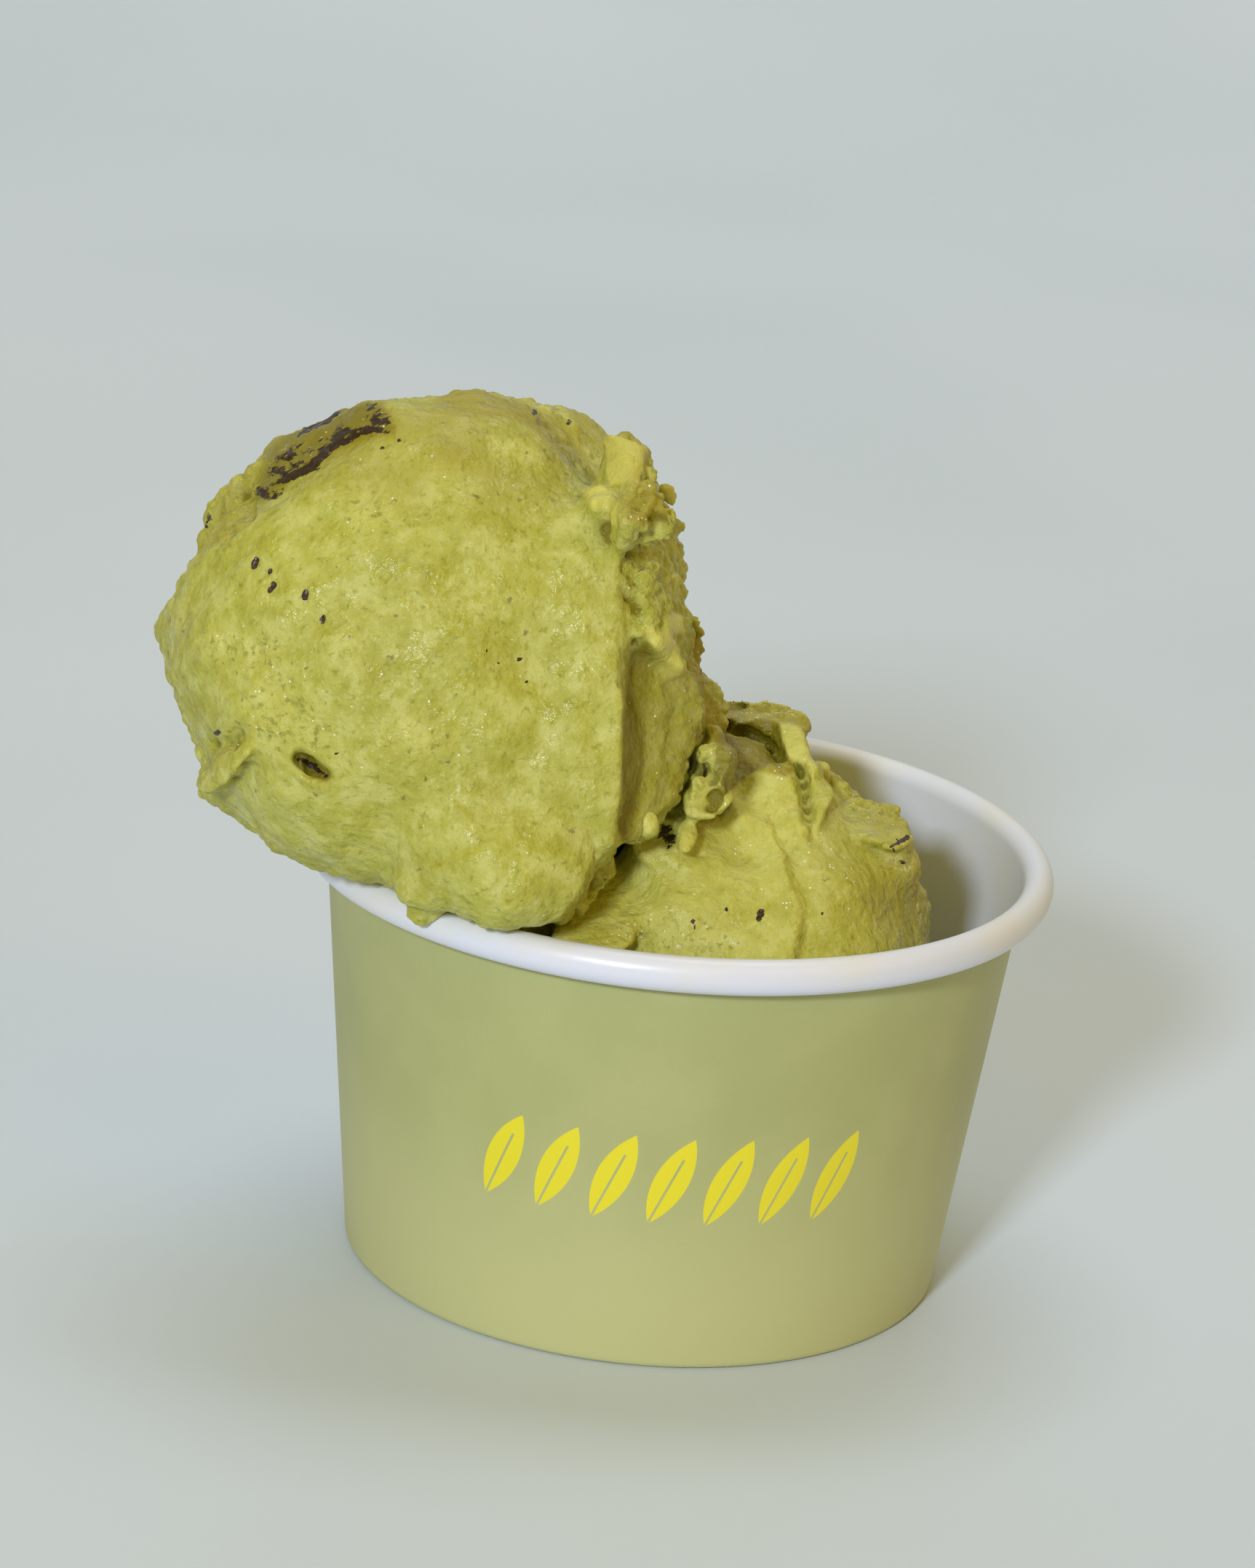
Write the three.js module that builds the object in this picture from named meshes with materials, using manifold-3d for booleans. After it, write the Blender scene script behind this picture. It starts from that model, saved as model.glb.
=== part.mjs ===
// A small paper cup of gelato: a curled-rim cup on a recessed bottom, a large scoop that leans over
// its left side, and a smaller scoop beside it. Millimetres, +Z up, front towards -Y.
//
// The pieces are built round the cup's own axis, with the table at z = 0. The finished group is
// then moved sideways so that the whole part's bounding box stands centred over the origin.

import * as THREE from "three";
import { mergeVertices } from "three/addons/utils/BufferGeometryUtils.js";
import Module from "manifold-3d";

const wasm = await Module();
wasm.setup();

// ---------------------------------------------------------------- driving dimensions: the cup

const CUP_HEIGHT = 53.5;
const RIM_RADIUS = 45; // outermost, over the rolled rim
const FOOT_RADIUS = 36; // outside of the wall where it stands on the table
const PAPER = 0.4; // thickness of the board
const ROLL_WIDTH = 3.7; // of the rolled rim, over both faces of the board
const ROLL_HEIGHT = 4.3;
const FOOT_FOLD_HEIGHT = 6.2; // how far the wall is folded up inside the foot
const FOOT_FOLD_PITCH = 1.5; // from the wall to its folded-up part, board centre to board centre
const FOOT_FOLD_RISE = 0.75; // height of the fold's rounded corners
const FOOT_FOLD_CORNER = 0.3; // and their width, which leaves a flat to stand on
const BOTTOM_TOP = 7; // the floor that the gelato lies on
const GAP = 0.35; // between pieces that touch
const ROUND_STEPS = 48; // facets round the cup

// ---------------------------------------------------------------- driving dimensions: the gelato

const LEAN = THREE.MathUtils.degToRad(18.4); // the scoops' faces lean back by this much

// An uneven ball's `outline` gives its radius every 22.5 degrees, anticlockwise from +X, seen along
// its own leaning axis; front and back are its depths along that axis.
//
// The large scoop: a smooth front that a spatula left, standing a little proud of the rough body
// behind it, a belly and a lip that lean on the front of the rim, and a root down in the cup.
const LARGE_FRONT = {
  centre: [-31, -14, 76],
  outline: [23.8, 24.6, 27.6, 29.6, 29.8, 27.4, 26.2, 28.6, 29.6, 28.4, 28.8, 27.8, 27.4, 28, 26.5, 24.6],
  front: 26,
  back: 20,
  fullness: 2.4,
};
const LARGE_BODY = {
  centre: [-28, -4, 74.5],
  outline: [27.8, 28, 30.2, 30, 28.6, 28.2, 29.6, 30.4, 28.6, 26, 24.5, 24, 24, 26, 29, 30],
  front: 19,
  back: 20,
  fullness: 2.2,
};
const LARGE_BELLY = { centre: [-20, -22, 66], radii: [15, 17, 16], tilt: 0 };
const LARGE_LIP = { centre: [-18.5, -35.5, 60], radii: [12, 10.5, 8], tilt: 0 };
const LARGE_ROOT = { centre: [-18, 0, 26], radii: [27, 37, 36], tilt: 0 };
const LARGE_SCRAPE = { centre: [2.5, -21, 74], radii: [6.5, 8, 13], tilt: 0.1 }; // hollow in its side
const LARGE_CORE = [-27, -15, 68]; // every point of the scoop can be seen from here

// The small scoop: a rounded mound on a bed that covers the bottom, a smear over its left front,
// and a petal that stands up behind, with a squarer right edge.
const SMALL_MOUND = { centre: [10.5, -7, 38], radii: [21.3, 31, 25.5], tilt: 0 };
const SMALL_BED = { centre: [5, 2, 10], radii: [35, 38, 21], tilt: 0 };
const SMALL_SMEAR = { centre: [4, -12, 44], radii: [14, 23, 20], tilt: 0.35 };
const SMALL_PETAL = { centre: [4, 5, 54], radii: [10, 8.5, 14.5], tilt: 0 };
const SMALL_PETAL_EDGE = { centre: [10.8, 3, 55], radii: [4.6, 7, 12], tilt: 0 };
const SMALL_CORE = [7, -5, 40];

// Curls, lips and crumbs: where each sits, its radii and its turn in the upright plane.
const LARGE_LUMPS = [
  { centre: [-59.6, -13, 76.5], radii: [2.6, 6, 3.2], tilt: 0.3 }, // lip at the far left
  { centre: [-51.6, -21, 62.4], radii: [5.6, 4.4, 2.8], tilt: 0.8 }, // curl that hangs at the left
  { centre: [-27, -38, 56.5], radii: [4.2, 5, 3.2], tilt: -0.3 }, // lip over the front of the rim
  { centre: [-12.5, -39, 57.5], radii: [6, 5, 4.4], tilt: 0.2 }, // its right end
  { centre: [-9.4, -18, 99.6], radii: [3.8, 7, 6.6], tilt: 0.2 }, // curl at the top right
  { centre: [-12.6, -28, 99], radii: [2.8, 3, 3.8], tilt: 0 }, // blob beside it
  { centre: [-4.6, -11, 83], radii: [4, 7, 7.5], tilt: 0.25 }, // lump half way down the side
  { centre: [0.8, -3, 69], radii: [4.8, 6, 4.6], tilt: 0.5 }, // crumbs over the small scoop
  { centre: [0.8, -10, 64], radii: [4.6, 5, 5], tilt: 0 },
];
const SMALL_LUMPS = [
  { centre: [24, -12, 56], radii: [4.6, 5, 4], tilt: -0.6 }, // shoulder with a nut in it
  { centre: [12, -4, 62.5], radii: [3.6, 7, 3.4], tilt: -0.5 }, // top corner of the smear
  { centre: [-1.5, -23, 60], radii: [4, 4, 4.6], tilt: 0 }, // knob between the scoops
];

const BLEND = 5; // how softly the forms of one scoop run into each other
const CREASE = 1.6; // the same where an edge stays
const LARGE_DETAIL = 13; // divisions of the mesh, of each of an icosahedron's edges
const SMALL_DETAIL = 11;
const LUMP_DETAIL = 2;
const WAVES = [
  // direction and pitch of each slow wave on the gelato's surface, and its height
  { along: [0.42, 0.2, 0.31], height: 0.34 },
  { along: [-0.25, 0.38, 0.44], height: 0.3 },
  { along: [0.61, -0.35, -0.3], height: 0.22 },
  { along: [-0.5, -0.62, 0.58], height: 0.16 },
];

// ---------------------------------------------------------------- closed meshes and solids

/** A closed three.js geometry as a solid that can be joined and cut. */
function solidOf(geometry) {
  const bare = new THREE.BufferGeometry();
  bare.setAttribute("position", geometry.getAttribute("position").clone());
  if (geometry.index) bare.setIndex(geometry.index.clone());
  const merged = mergeVertices(bare, 1e-4);
  const mesh = new wasm.Mesh({
    numProp: 3,
    vertProperties: merged.getAttribute("position").array,
    triVerts: new Uint32Array(merged.index.array),
  });
  return new wasm.Manifold(mesh);
}

/** A solid back as a three.js geometry. */
function geometryOf(solid) {
  const { vertProperties, triVerts } = solid.getMesh();
  const geometry = new THREE.BufferGeometry();
  geometry.setAttribute("position", new THREE.BufferAttribute(vertProperties, 3));
  geometry.setIndex(new THREE.BufferAttribute(triVerts, 1));
  geometry.computeVertexNormals();
  return geometry;
}

/** The largest body of a solid, without the scraps that a cut leaves. */
function largestBody(solid) {
  const bodies = solid.decompose();
  return bodies.reduce((best, body) => (body.volume() > best.volume() ? body : best));
}

/** A closed (radius, height) profile turned round the cup's axis, faces outwards. */
function turned(profile) {
  const closed = [...profile, profile[0]];
  const points = closed.map(([radius, height]) => new THREE.Vector2(radius, height));
  const geometry = new THREE.LatheGeometry(points, ROUND_STEPS);
  geometry.rotateX(Math.PI / 2); // a lathe turns about Y; the cup stands along Z
  return solidOf(dropFlatTriangles(geometry));
}

/** The geometry without the triangles that a lathe collapses onto its axis. */
function dropFlatTriangles(geometry) {
  const bare = new THREE.BufferGeometry();
  bare.setAttribute("position", geometry.getAttribute("position"));
  bare.setIndex(geometry.index);
  const merged = mergeVertices(bare, 1e-4);
  const index = merged.index.array;
  const kept = [];
  for (let i = 0; i < index.length; i += 3) {
    const [a, b, c] = [index[i], index[i + 1], index[i + 2]];
    if (a !== b && b !== c && c !== a) kept.push(a, b, c);
  }
  merged.setIndex(kept);
  return merged;
}

// ---------------------------------------------------------------- the cup

const ROLL = {
  radius: RIM_RADIUS - ROLL_WIDTH / 2,
  height: CUP_HEIGHT - ROLL_HEIGHT / 2,
  halfWidth: (ROLL_WIDTH - PAPER) / 2, // to the board's centre line
  halfHeight: (ROLL_HEIGHT - PAPER) / 2,
};
const WALL_TOP = [ROLL.radius - ROLL.halfWidth, ROLL.height];
const WALL_FOOT = [FOOT_RADIUS - PAPER / 2, FOOT_FOLD_RISE + PAPER / 2];

/** Radius of the wall's centre line at a height. */
function wallRadius(height) {
  const share = (height - WALL_FOOT[1]) / (WALL_TOP[1] - WALL_FOOT[1]);
  return WALL_FOOT[0] + share * (WALL_TOP[0] - WALL_FOOT[0]);
}

/** Centre line of the wall's board, from the end tucked inside the roll to the end inside the foot. */
function wallCentreLine() {
  const line = [];
  const steps = 11;
  const curl = 350; // degrees, from the wall over the top and back in
  for (let i = steps; i >= 0; i--) {
    const turn = (curl * i) / steps;
    const tuck = 1 - 0.42 * Math.max(0, (turn - 270) / 80); // the last quarter tucks inside
    const angle = Math.PI - THREE.MathUtils.degToRad(turn);
    line.push([
      ROLL.radius + tuck * ROLL.halfWidth * Math.cos(angle),
      ROLL.height + tuck * ROLL.halfHeight * Math.sin(angle),
    ]);
  }
  const [outer, rise] = WALL_FOOT;
  const inner = outer - FOOT_FOLD_PITCH;
  line.push([outer, rise]);
  line.push([outer - FOOT_FOLD_CORNER, PAPER / 2]);
  line.push([inner + FOOT_FOLD_CORNER, PAPER / 2]);
  line.push([inner, rise]);
  line.push([wallRadius(FOOT_FOLD_HEIGHT) - FOOT_FOLD_PITCH, FOOT_FOLD_HEIGHT]);
  return line;
}

/** Unit normal of the stretch of a line that starts at point i, to its right-hand side. */
function stretchNormal(line, i) {
  const [x0, y0] = line[i];
  const [x1, y1] = line[i + 1];
  const length = Math.hypot(x1 - x0, y1 - y0);
  return [(y1 - y0) / length, (x0 - x1) / length];
}

/** A line moved sideways, with mitred corners. */
function offsetLine(line, distance) {
  const last = line.length - 1;
  return line.map(([x, y], i) => {
    const before = stretchNormal(line, Math.max(i - 1, 0));
    const after = stretchNormal(line, Math.min(i, last - 1));
    const sum = [before[0] + after[0], before[1] + after[1]];
    const mitre = (2 * distance) / (sum[0] ** 2 + sum[1] ** 2);
    return [x + mitre * sum[0], y + mitre * sum[1]];
  });
}

/** A centre line given the board's thickness: the outline of a cut through the board. */
function boardOutline(line) {
  return [...offsetLine(line, PAPER / 2), ...offsetLine(line, -PAPER / 2).reverse()];
}

/** The bottom: a flat disc whose skirt hangs in the fold of the foot. */
function bottomOutline() {
  const outer = (height) => wallRadius(height) - FOOT_FOLD_PITCH / 2 + PAPER / 2;
  const inner = (height) => outer(height) - PAPER;
  const skirtEnd = WALL_FOOT[1] + GAP;
  const underside = BOTTOM_TOP - PAPER;
  return [
    [0, underside],
    [inner(underside), underside],
    [inner(skirtEnd), skirtEnd],
    [outer(skirtEnd), skirtEnd],
    [outer(BOTTOM_TOP), BOTTOM_TOP],
    [0, BOTTOM_TOP],
  ];
}

/** What the gelato stays out of: the cup, and all that lies outside it below its rim. */
function cupEnvelope() {
  const far = 90;
  const below = -5;
  const clearance = PAPER / 2 + GAP;
  const floor = BOTTOM_TOP + GAP;
  const profile = [
    [0, below],
    [far, below],
    [far, CUP_HEIGHT + GAP],
  ];
  const roundSteps = 5;
  for (let i = 0; i <= roundSteps; i++) {
    const angle = Math.PI / 2 + ((Math.PI / 2) * i) / roundSteps;
    profile.push([
      ROLL.radius + (ROLL.halfWidth + clearance) * Math.cos(angle),
      ROLL.height + (ROLL.halfHeight + clearance) * Math.sin(angle),
    ]);
  }
  profile.push([wallRadius(floor) - clearance, floor]);
  profile.push([0, floor]);
  return turned(profile);
}

// ---------------------------------------------------------------- gelato forms

/** Radius of an outline at an angle, with its values evenly spaced round it and joined smoothly. */
function outlineRadius(outline, angle) {
  const place = ((angle / (2 * Math.PI) + 1) % 1) * outline.length;
  const first = Math.floor(place);
  const t = place - first;
  const at = (k) => outline[(first + k + outline.length) % outline.length];
  const [a, b, c, d] = [at(-1), at(0), at(1), at(2)];
  return b + 0.5 * t * (c - a + t * (2 * a - 5 * b + 4 * c - d + t * (3 * (b - c) + d - a)));
}

/** Slow unevenness of the surface at a point, as an outward distance. */
function waves(point) {
  return WAVES.reduce((sum, { along, height }, i) => {
    const phase = along[0] * point.x + along[1] * point.y + along[2] * point.z + 2.1 * i;
    return sum + height * Math.sin(phase);
  }, 0);
}

/** Distance, near enough, from a leaning uneven ball: negative inside it. */
function ballField(ball) {
  const centre = new THREE.Vector3(...ball.centre);
  const upright = new THREE.Euler(LEAN, 0, 0);
  const local = new THREE.Vector3();
  return (point) => {
    local.copy(point).sub(centre).applyEuler(upright);
    const across = Math.hypot(local.x, local.z);
    const edge = outlineRadius(ball.outline, Math.atan2(local.z, local.x));
    const depth = local.y < 0 ? ball.front : ball.back;
    const power = ball.fullness;
    const share = ((across / edge) ** power + (Math.abs(local.y) / depth) ** power) ** (1 / power);
    const distance = local.length();
    return distance - distance / Math.max(share, 1e-6);
  };
}

/** Distance, near enough, from an ellipsoid turned by its tilt in the upright X-Z plane. */
function lumpField(lump) {
  const centre = new THREE.Vector3(...lump.centre);
  const radii = new THREE.Vector3(...lump.radii);
  const turn = new THREE.Euler(0, lump.tilt, 0);
  const local = new THREE.Vector3();
  return (point) => {
    local.copy(point).sub(centre).applyEuler(turn);
    const distance = local.length();
    const share = local.divide(radii).length();
    return distance - distance / Math.max(share, 1e-6);
  };
}

/** Two fields as one form, with a fillet about as wide as `softness` between them. */
function softUnion(first, second, softness) {
  return (point) => {
    const a = first(point);
    const b = second(point);
    const overlap = Math.max(softness - Math.abs(a - b), 0) / softness;
    return Math.min(a, b) - (overlap * overlap * softness) / 4;
  };
}

/** A field with another hollowed out of it, the hollow's edge rounded. */
function softCut(field, hollow, softness) {
  const outside = softUnion((point) => -field(point), hollow, softness);
  return (point) => -outside(point);
}

/** The surface of a field, as a sphere of triangles pulled out from a core point to meet it. */
function pulledOut(field, core, detail, clearance) {
  const reach = 95;
  const halvings = 26;
  const centre = new THREE.Vector3(...core);
  const geometry = new THREE.IcosahedronGeometry(1, detail);
  const position = geometry.getAttribute("position");
  const direction = new THREE.Vector3();
  const point = new THREE.Vector3();
  for (let i = 0; i < position.count; i++) {
    direction.fromBufferAttribute(position, i).normalize();
    let inside = 0;
    let outside = reach;
    for (let k = 0; k < halvings; k++) {
      const middle = (inside + outside) / 2;
      point.copy(centre).addScaledVector(direction, middle);
      if (field(point) - waves(point) < clearance) inside = middle;
      else outside = middle;
    }
    point.copy(centre).addScaledVector(direction, inside);
    position.setXYZ(i, point.x, point.y, point.z);
  }
  return solidOf(geometry);
}

/** The lumps of a scoop, each pulled out from its own centre. */
function lumpSolids(lumps, clearance) {
  return lumps.map((lump) => pulledOut(lumpField(lump), lump.centre, LUMP_DETAIL, clearance));
}

/** Solids joined into one. */
function joined(solids) {
  return solids.reduce((sum, solid) => sum.add(solid));
}

/** The large scoop, with `clearance` added all round. */
function largeScoop(clearance) {
  const whole = [LARGE_BELLY, LARGE_LIP, LARGE_ROOT].reduce(
    (field, lump) => softUnion(field, lumpField(lump), BLEND),
    softUnion(ballField(LARGE_FRONT), ballField(LARGE_BODY), CREASE),
  );
  const scraped = softCut(whole, lumpField(LARGE_SCRAPE), CREASE);
  return joined([
    pulledOut(scraped, LARGE_CORE, LARGE_DETAIL, clearance),
    ...lumpSolids(LARGE_LUMPS, clearance),
  ]);
}

/** The small scoop, before the large one is cut out of it. */
function smallScoop() {
  const whole = [SMALL_SMEAR, SMALL_PETAL, SMALL_PETAL_EDGE].reduce(
    (field, lump) => softUnion(field, lumpField(lump), CREASE),
    softUnion(lumpField(SMALL_MOUND), lumpField(SMALL_BED), BLEND),
  );
  return joined([pulledOut(whole, SMALL_CORE, SMALL_DETAIL, 0), ...lumpSolids(SMALL_LUMPS, 0)]);
}

// ---------------------------------------------------------------- the group

const PAPER_WHITE = new THREE.MeshStandardMaterial({ color: 0xdfe1de, roughness: 0.45, metalness: 0 });
const PAPER_GREEN = new THREE.MeshStandardMaterial({ color: 0xb9bd8d, roughness: 0.6, metalness: 0 });
const GELATO = new THREE.MeshStandardMaterial({ color: 0xb2b057, roughness: 0.5, metalness: 0 });
const GELATO_DEEP = new THREE.MeshStandardMaterial({ color: 0xb0a640, roughness: 0.5, metalness: 0 });

const envelope = cupEnvelope();
const wall = turned(boardOutline(wallCentreLine()));
const bottom = turned(bottomOutline());
const large = largestBody(largeScoop(0).subtract(envelope));
const small = largestBody(smallScoop().subtract(envelope).subtract(largeScoop(GAP)));

const gelatoCup = new THREE.Group();
for (const [name, solid, material] of [
  ["cup_wall", wall, PAPER_GREEN],
  ["cup_bottom", bottom, PAPER_WHITE],
  ["gelato_large", large, GELATO],
  ["gelato_small", small, GELATO_DEEP],
]) {
  const mesh = new THREE.Mesh(geometryOf(solid), material);
  mesh.name = name;
  gelatoCup.add(mesh);
}

const middle = new THREE.Box3().setFromObject(gelatoCup).getCenter(new THREE.Vector3());
gelatoCup.position.set(-middle.x, -middle.y, 0);

export default gelatoCup;
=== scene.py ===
"""A paper cup of pistachio gelato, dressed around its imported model.

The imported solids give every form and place. This script replaces them with the finished pieces: a
cup of curled and folded board, and two scoops whose surfaces are worked with strokes, dabs and
grain like real gelato, with bits of dark nut skin in them.

Sizes are in millimetres from the cup's axis, with the table at height 0, until they become
coordinates in metres.
"""

import logging
import math
from dataclasses import dataclass, field
from enum import Enum
from typing import Any, Optional, Sequence, Union

import bpy
import numpy as np
from mathutils import Euler, Matrix, Vector


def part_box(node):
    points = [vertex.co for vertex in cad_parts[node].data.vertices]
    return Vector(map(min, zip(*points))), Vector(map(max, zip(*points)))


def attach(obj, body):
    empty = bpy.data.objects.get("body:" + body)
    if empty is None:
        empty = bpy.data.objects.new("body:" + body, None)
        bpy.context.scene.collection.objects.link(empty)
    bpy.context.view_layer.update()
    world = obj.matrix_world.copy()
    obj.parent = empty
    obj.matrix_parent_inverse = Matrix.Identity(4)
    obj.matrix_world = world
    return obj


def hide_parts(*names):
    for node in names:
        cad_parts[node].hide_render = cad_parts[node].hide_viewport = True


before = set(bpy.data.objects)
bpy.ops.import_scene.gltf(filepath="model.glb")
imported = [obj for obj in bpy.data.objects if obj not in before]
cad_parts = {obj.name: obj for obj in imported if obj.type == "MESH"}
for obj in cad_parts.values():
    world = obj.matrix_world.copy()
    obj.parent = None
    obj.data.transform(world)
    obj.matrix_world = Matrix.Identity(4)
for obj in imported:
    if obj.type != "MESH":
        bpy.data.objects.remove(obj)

LOG = logging.getLogger("gelato_cup")
MM = 0.001  # metres in a millimetre
BODY = "root"
MASKS = ("rough", "nut", "frost_and_glint", "pale", "ochre_and_shade", "hollow", "pore", "glint")  # kept on a scoop's mesh

Array = np.ndarray
Piece = bpy.types.Object
Material = bpy.types.Material
RGB = tuple[int, int, int]  # a display colour, each part 0 to 255
Point = tuple[float, float, float]
Fade = tuple[float, float]  # where something starts, and where it is whole
Path = Sequence[tuple[float, float]]  # places on the sight plane: across, up
Spots = Sequence[tuple[float, float, float]]  # across, up, half width
Lines = Sequence[tuple[Path, float, float]]  # path, half width, share
Balls = Sequence[tuple[Point, float]]  # centre, radius


# ------------------------------------------------------------------ the frame the pieces fit


@dataclass(frozen=True)
class CupFrame:
    """The cup's axis and outer sizes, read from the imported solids."""

    axis: Vector
    height: float
    rim_radius: float

    @classmethod
    def from_solids(cls) -> "CupFrame":
        """Read the frame from the wall's box.

        Returns:
            The frame, with its sizes in millimetres and its axis in metres.
        """
        low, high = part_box("cup_wall")
        axis = Vector(((low.x + high.x) / 2, (low.y + high.y) / 2, 0.0))
        return cls(axis, (high.z - low.z) / MM, (high.y - low.y) / 2 / MM)

    def at(self, x: float, y: float, z: float) -> Vector:
        """A place in metres from millimetres off the cup's axis."""
        return self.axis + Vector((x, y, z)) * MM


@dataclass(frozen=True)
class Viewpoint:
    """Where the camera stands from the cup's axis, and how it is turned."""

    place: Point = (0.0, -571.6, 249.1)
    pitch: float = -18.44
    yaw: float = -0.65
    roll: float = 5.265
    lens: float = 116.9
    film: float = 36.0
    sight_depth: float = -10.0  # the upright plane that sight positions are measured on

    def rotation(self) -> Euler:
        """The camera's turn: tipped from straight down, then rolled, then swung."""
        tipped = Matrix.Rotation(math.radians(90 + self.pitch), 3, "X")
        rolled = Matrix.Rotation(math.radians(self.roll), 3, "Z")
        swung = Matrix.Rotation(math.radians(-self.yaw), 3, "Z")
        return (swung @ tipped @ rolled).to_euler()

    def sight(self, points: Array) -> Array:
        """Where points seem to lie on the sight plane, seen from the camera.

        Args:
            points: Places in millimetres from the cup's axis, one a row.

        Returns:
            Their distance across and height on the sight plane, one a row.
        """
        eye = np.array(self.place)
        share = (self.sight_depth - eye[1]) / (points[:, 1] - eye[1])
        seen = eye + (points - eye) * share[:, None]
        return seen[:, [0, 2]]

    def ray(self, across: float, up: float) -> tuple[Array, Array]:
        """The line of sight through a place on the sight plane, as its start and direction."""
        eye = np.array(self.place)
        direction = np.array((across, self.sight_depth, up)) - eye
        return eye, direction / np.linalg.norm(direction)


CUP = CupFrame.from_solids()
VIEW = Viewpoint()


# ------------------------------------------------------------------ modelling helpers


def only(*pieces: Piece) -> Piece:
    """Select just these pieces, and make the first one active.

    Args:
        pieces: The objects to select.

    Returns:
        The first piece.
    """
    if bpy.context.object and bpy.context.object.mode != "OBJECT":
        bpy.ops.object.mode_set(mode="OBJECT")
    bpy.ops.object.select_all(action="DESELECT")
    for piece in pieces:
        piece.select_set(True)
    bpy.context.view_layer.objects.active = pieces[0]
    return pieces[0]


def joined(name: str, pieces: Sequence[Piece]) -> Piece:
    """Join pieces into one mesh.

    Args:
        name: The joined piece's name.
        pieces: What is joined.

    Returns:
        The joined piece.
    """
    piece = only(*pieces)
    bpy.ops.object.join()
    piece.name = piece.data.name = name
    return piece


def settle(piece: Piece) -> Piece:
    """Put a piece's place and turn into its mesh, so that its object sits at the origin."""
    only(piece)
    bpy.ops.object.transform_apply(location=True, rotation=True, scale=True)
    return piece


def modify(piece: Piece, kind: str, **settings: Any) -> Piece:
    """Add a modifier and apply it.

    Args:
        piece: The object that is changed.
        kind: The modifier's type.
        settings: The modifier's own settings.

    Returns:
        The same piece.
    """
    only(piece)
    modifier = piece.modifiers.new(kind.lower(), kind)
    for key, value in settings.items():
        setattr(modifier, key, value)
    bpy.ops.object.modifier_apply(modifier=modifier.name)
    return piece


def copy_of_node(node: str, name: str) -> Piece:
    """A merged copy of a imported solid, to be worked on.

    Args:
        node: The solid's name.
        name: The copy's name.

    Returns:
        The copy, free of the frame.
    """
    only(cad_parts[node])
    bpy.ops.object.duplicate()
    piece = bpy.context.object
    piece.parent = None
    for key in list(piece.keys()):
        del piece[key]
    piece.name = piece.data.name = name
    piece.data.materials.clear()
    bpy.ops.object.mode_set(mode="EDIT")
    bpy.ops.mesh.select_all(action="SELECT")
    bpy.ops.mesh.remove_doubles(threshold=0.002 * MM)
    bpy.ops.object.mode_set(mode="OBJECT")
    return piece


def smooth(piece: Piece, angle: Optional[float] = None) -> Piece:
    """Shade a piece smooth, but for edges sharper than an angle in degrees where one is given."""
    only(piece)
    if angle is None:
        bpy.ops.object.shade_smooth()
    else:
        bpy.ops.object.shade_smooth_by_angle(angle=math.radians(angle))
    return piece


def ball(
    centre: Sequence[float],
    radii: Sequence[float],
    turn: Sequence[float] = (0.0, 0.0, 0.0),
    detail: int = 4,
) -> Piece:
    """A lump of clay: an icosphere at its size and place.

    Args:
        centre: Its middle, in millimetres from the cup's axis.
        radii: Its half sizes.
        turn: Its turn about X, Y and Z, in degrees.
        detail: Divisions of the sphere.

    Returns:
        The lump, settled.
    """
    bpy.ops.object.select_all(action="DESELECT")
    bpy.ops.mesh.primitive_ico_sphere_add(
        subdivisions=detail,
        radius=MM,
        location=CUP.at(*centre),
        rotation=[math.radians(angle) for angle in turn],
    )
    bpy.ops.transform.resize(value=tuple(radii), orient_type="LOCAL")
    return settle(bpy.context.object)


# ------------------------------------------------------------------ noise for relief


def lattice(cells: Array, seed: int) -> Array:
    """A steady random number from 0 to 1 for each cell of a lattice.

    Args:
        cells: Whole-number cell positions, one a row.
        seed: Which set of numbers.

    Returns:
        One number a row.
    """
    factors = np.array((73856093, 19349663, 83492791), np.uint64)
    mixed = (cells.astype(np.int64).astype(np.uint64) * factors).sum(-1) + np.uint64(seed * 2654435761)
    mixed ^= mixed >> np.uint64(17)
    mixed *= np.uint64(0x9E3779B97F4A7C15)
    mixed ^= mixed >> np.uint64(29)
    mixed *= np.uint64(0xBF58476D1CE4E5B9)
    mixed ^= mixed >> np.uint64(32)
    return (mixed >> np.uint64(40)).astype(np.float64) / float(1 << 24)


def noise(points: Array, pitch: float, seed: int, octaves: int = 1) -> Array:
    """Smooth noise at points.

    Args:
        points: Places, one a row.
        pitch: Size of its largest lumps.
        seed: Which noise.
        octaves: How many sizes are added, each half the last.

    Returns:
        Values from about -1 to 1, one a row.
    """
    total = np.zeros(len(points))
    weight = 0.0
    for octave in range(octaves):
        scaled = points * (2**octave / pitch) + 31.7 * octave
        cell = np.floor(scaled)
        t = scaled - cell
        t = t * t * t * (t * (t * 6 - 15) + 10)
        value = np.zeros(len(points))
        for corner in np.ndindex(2, 2, 2):
            share = np.prod(np.where(corner, t, 1 - t), axis=1)
            value += share * lattice(cell + corner, seed + octave)
        total += (value * 2 - 1) * 0.5**octave
        weight += 0.5**octave
    return total / weight


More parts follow.
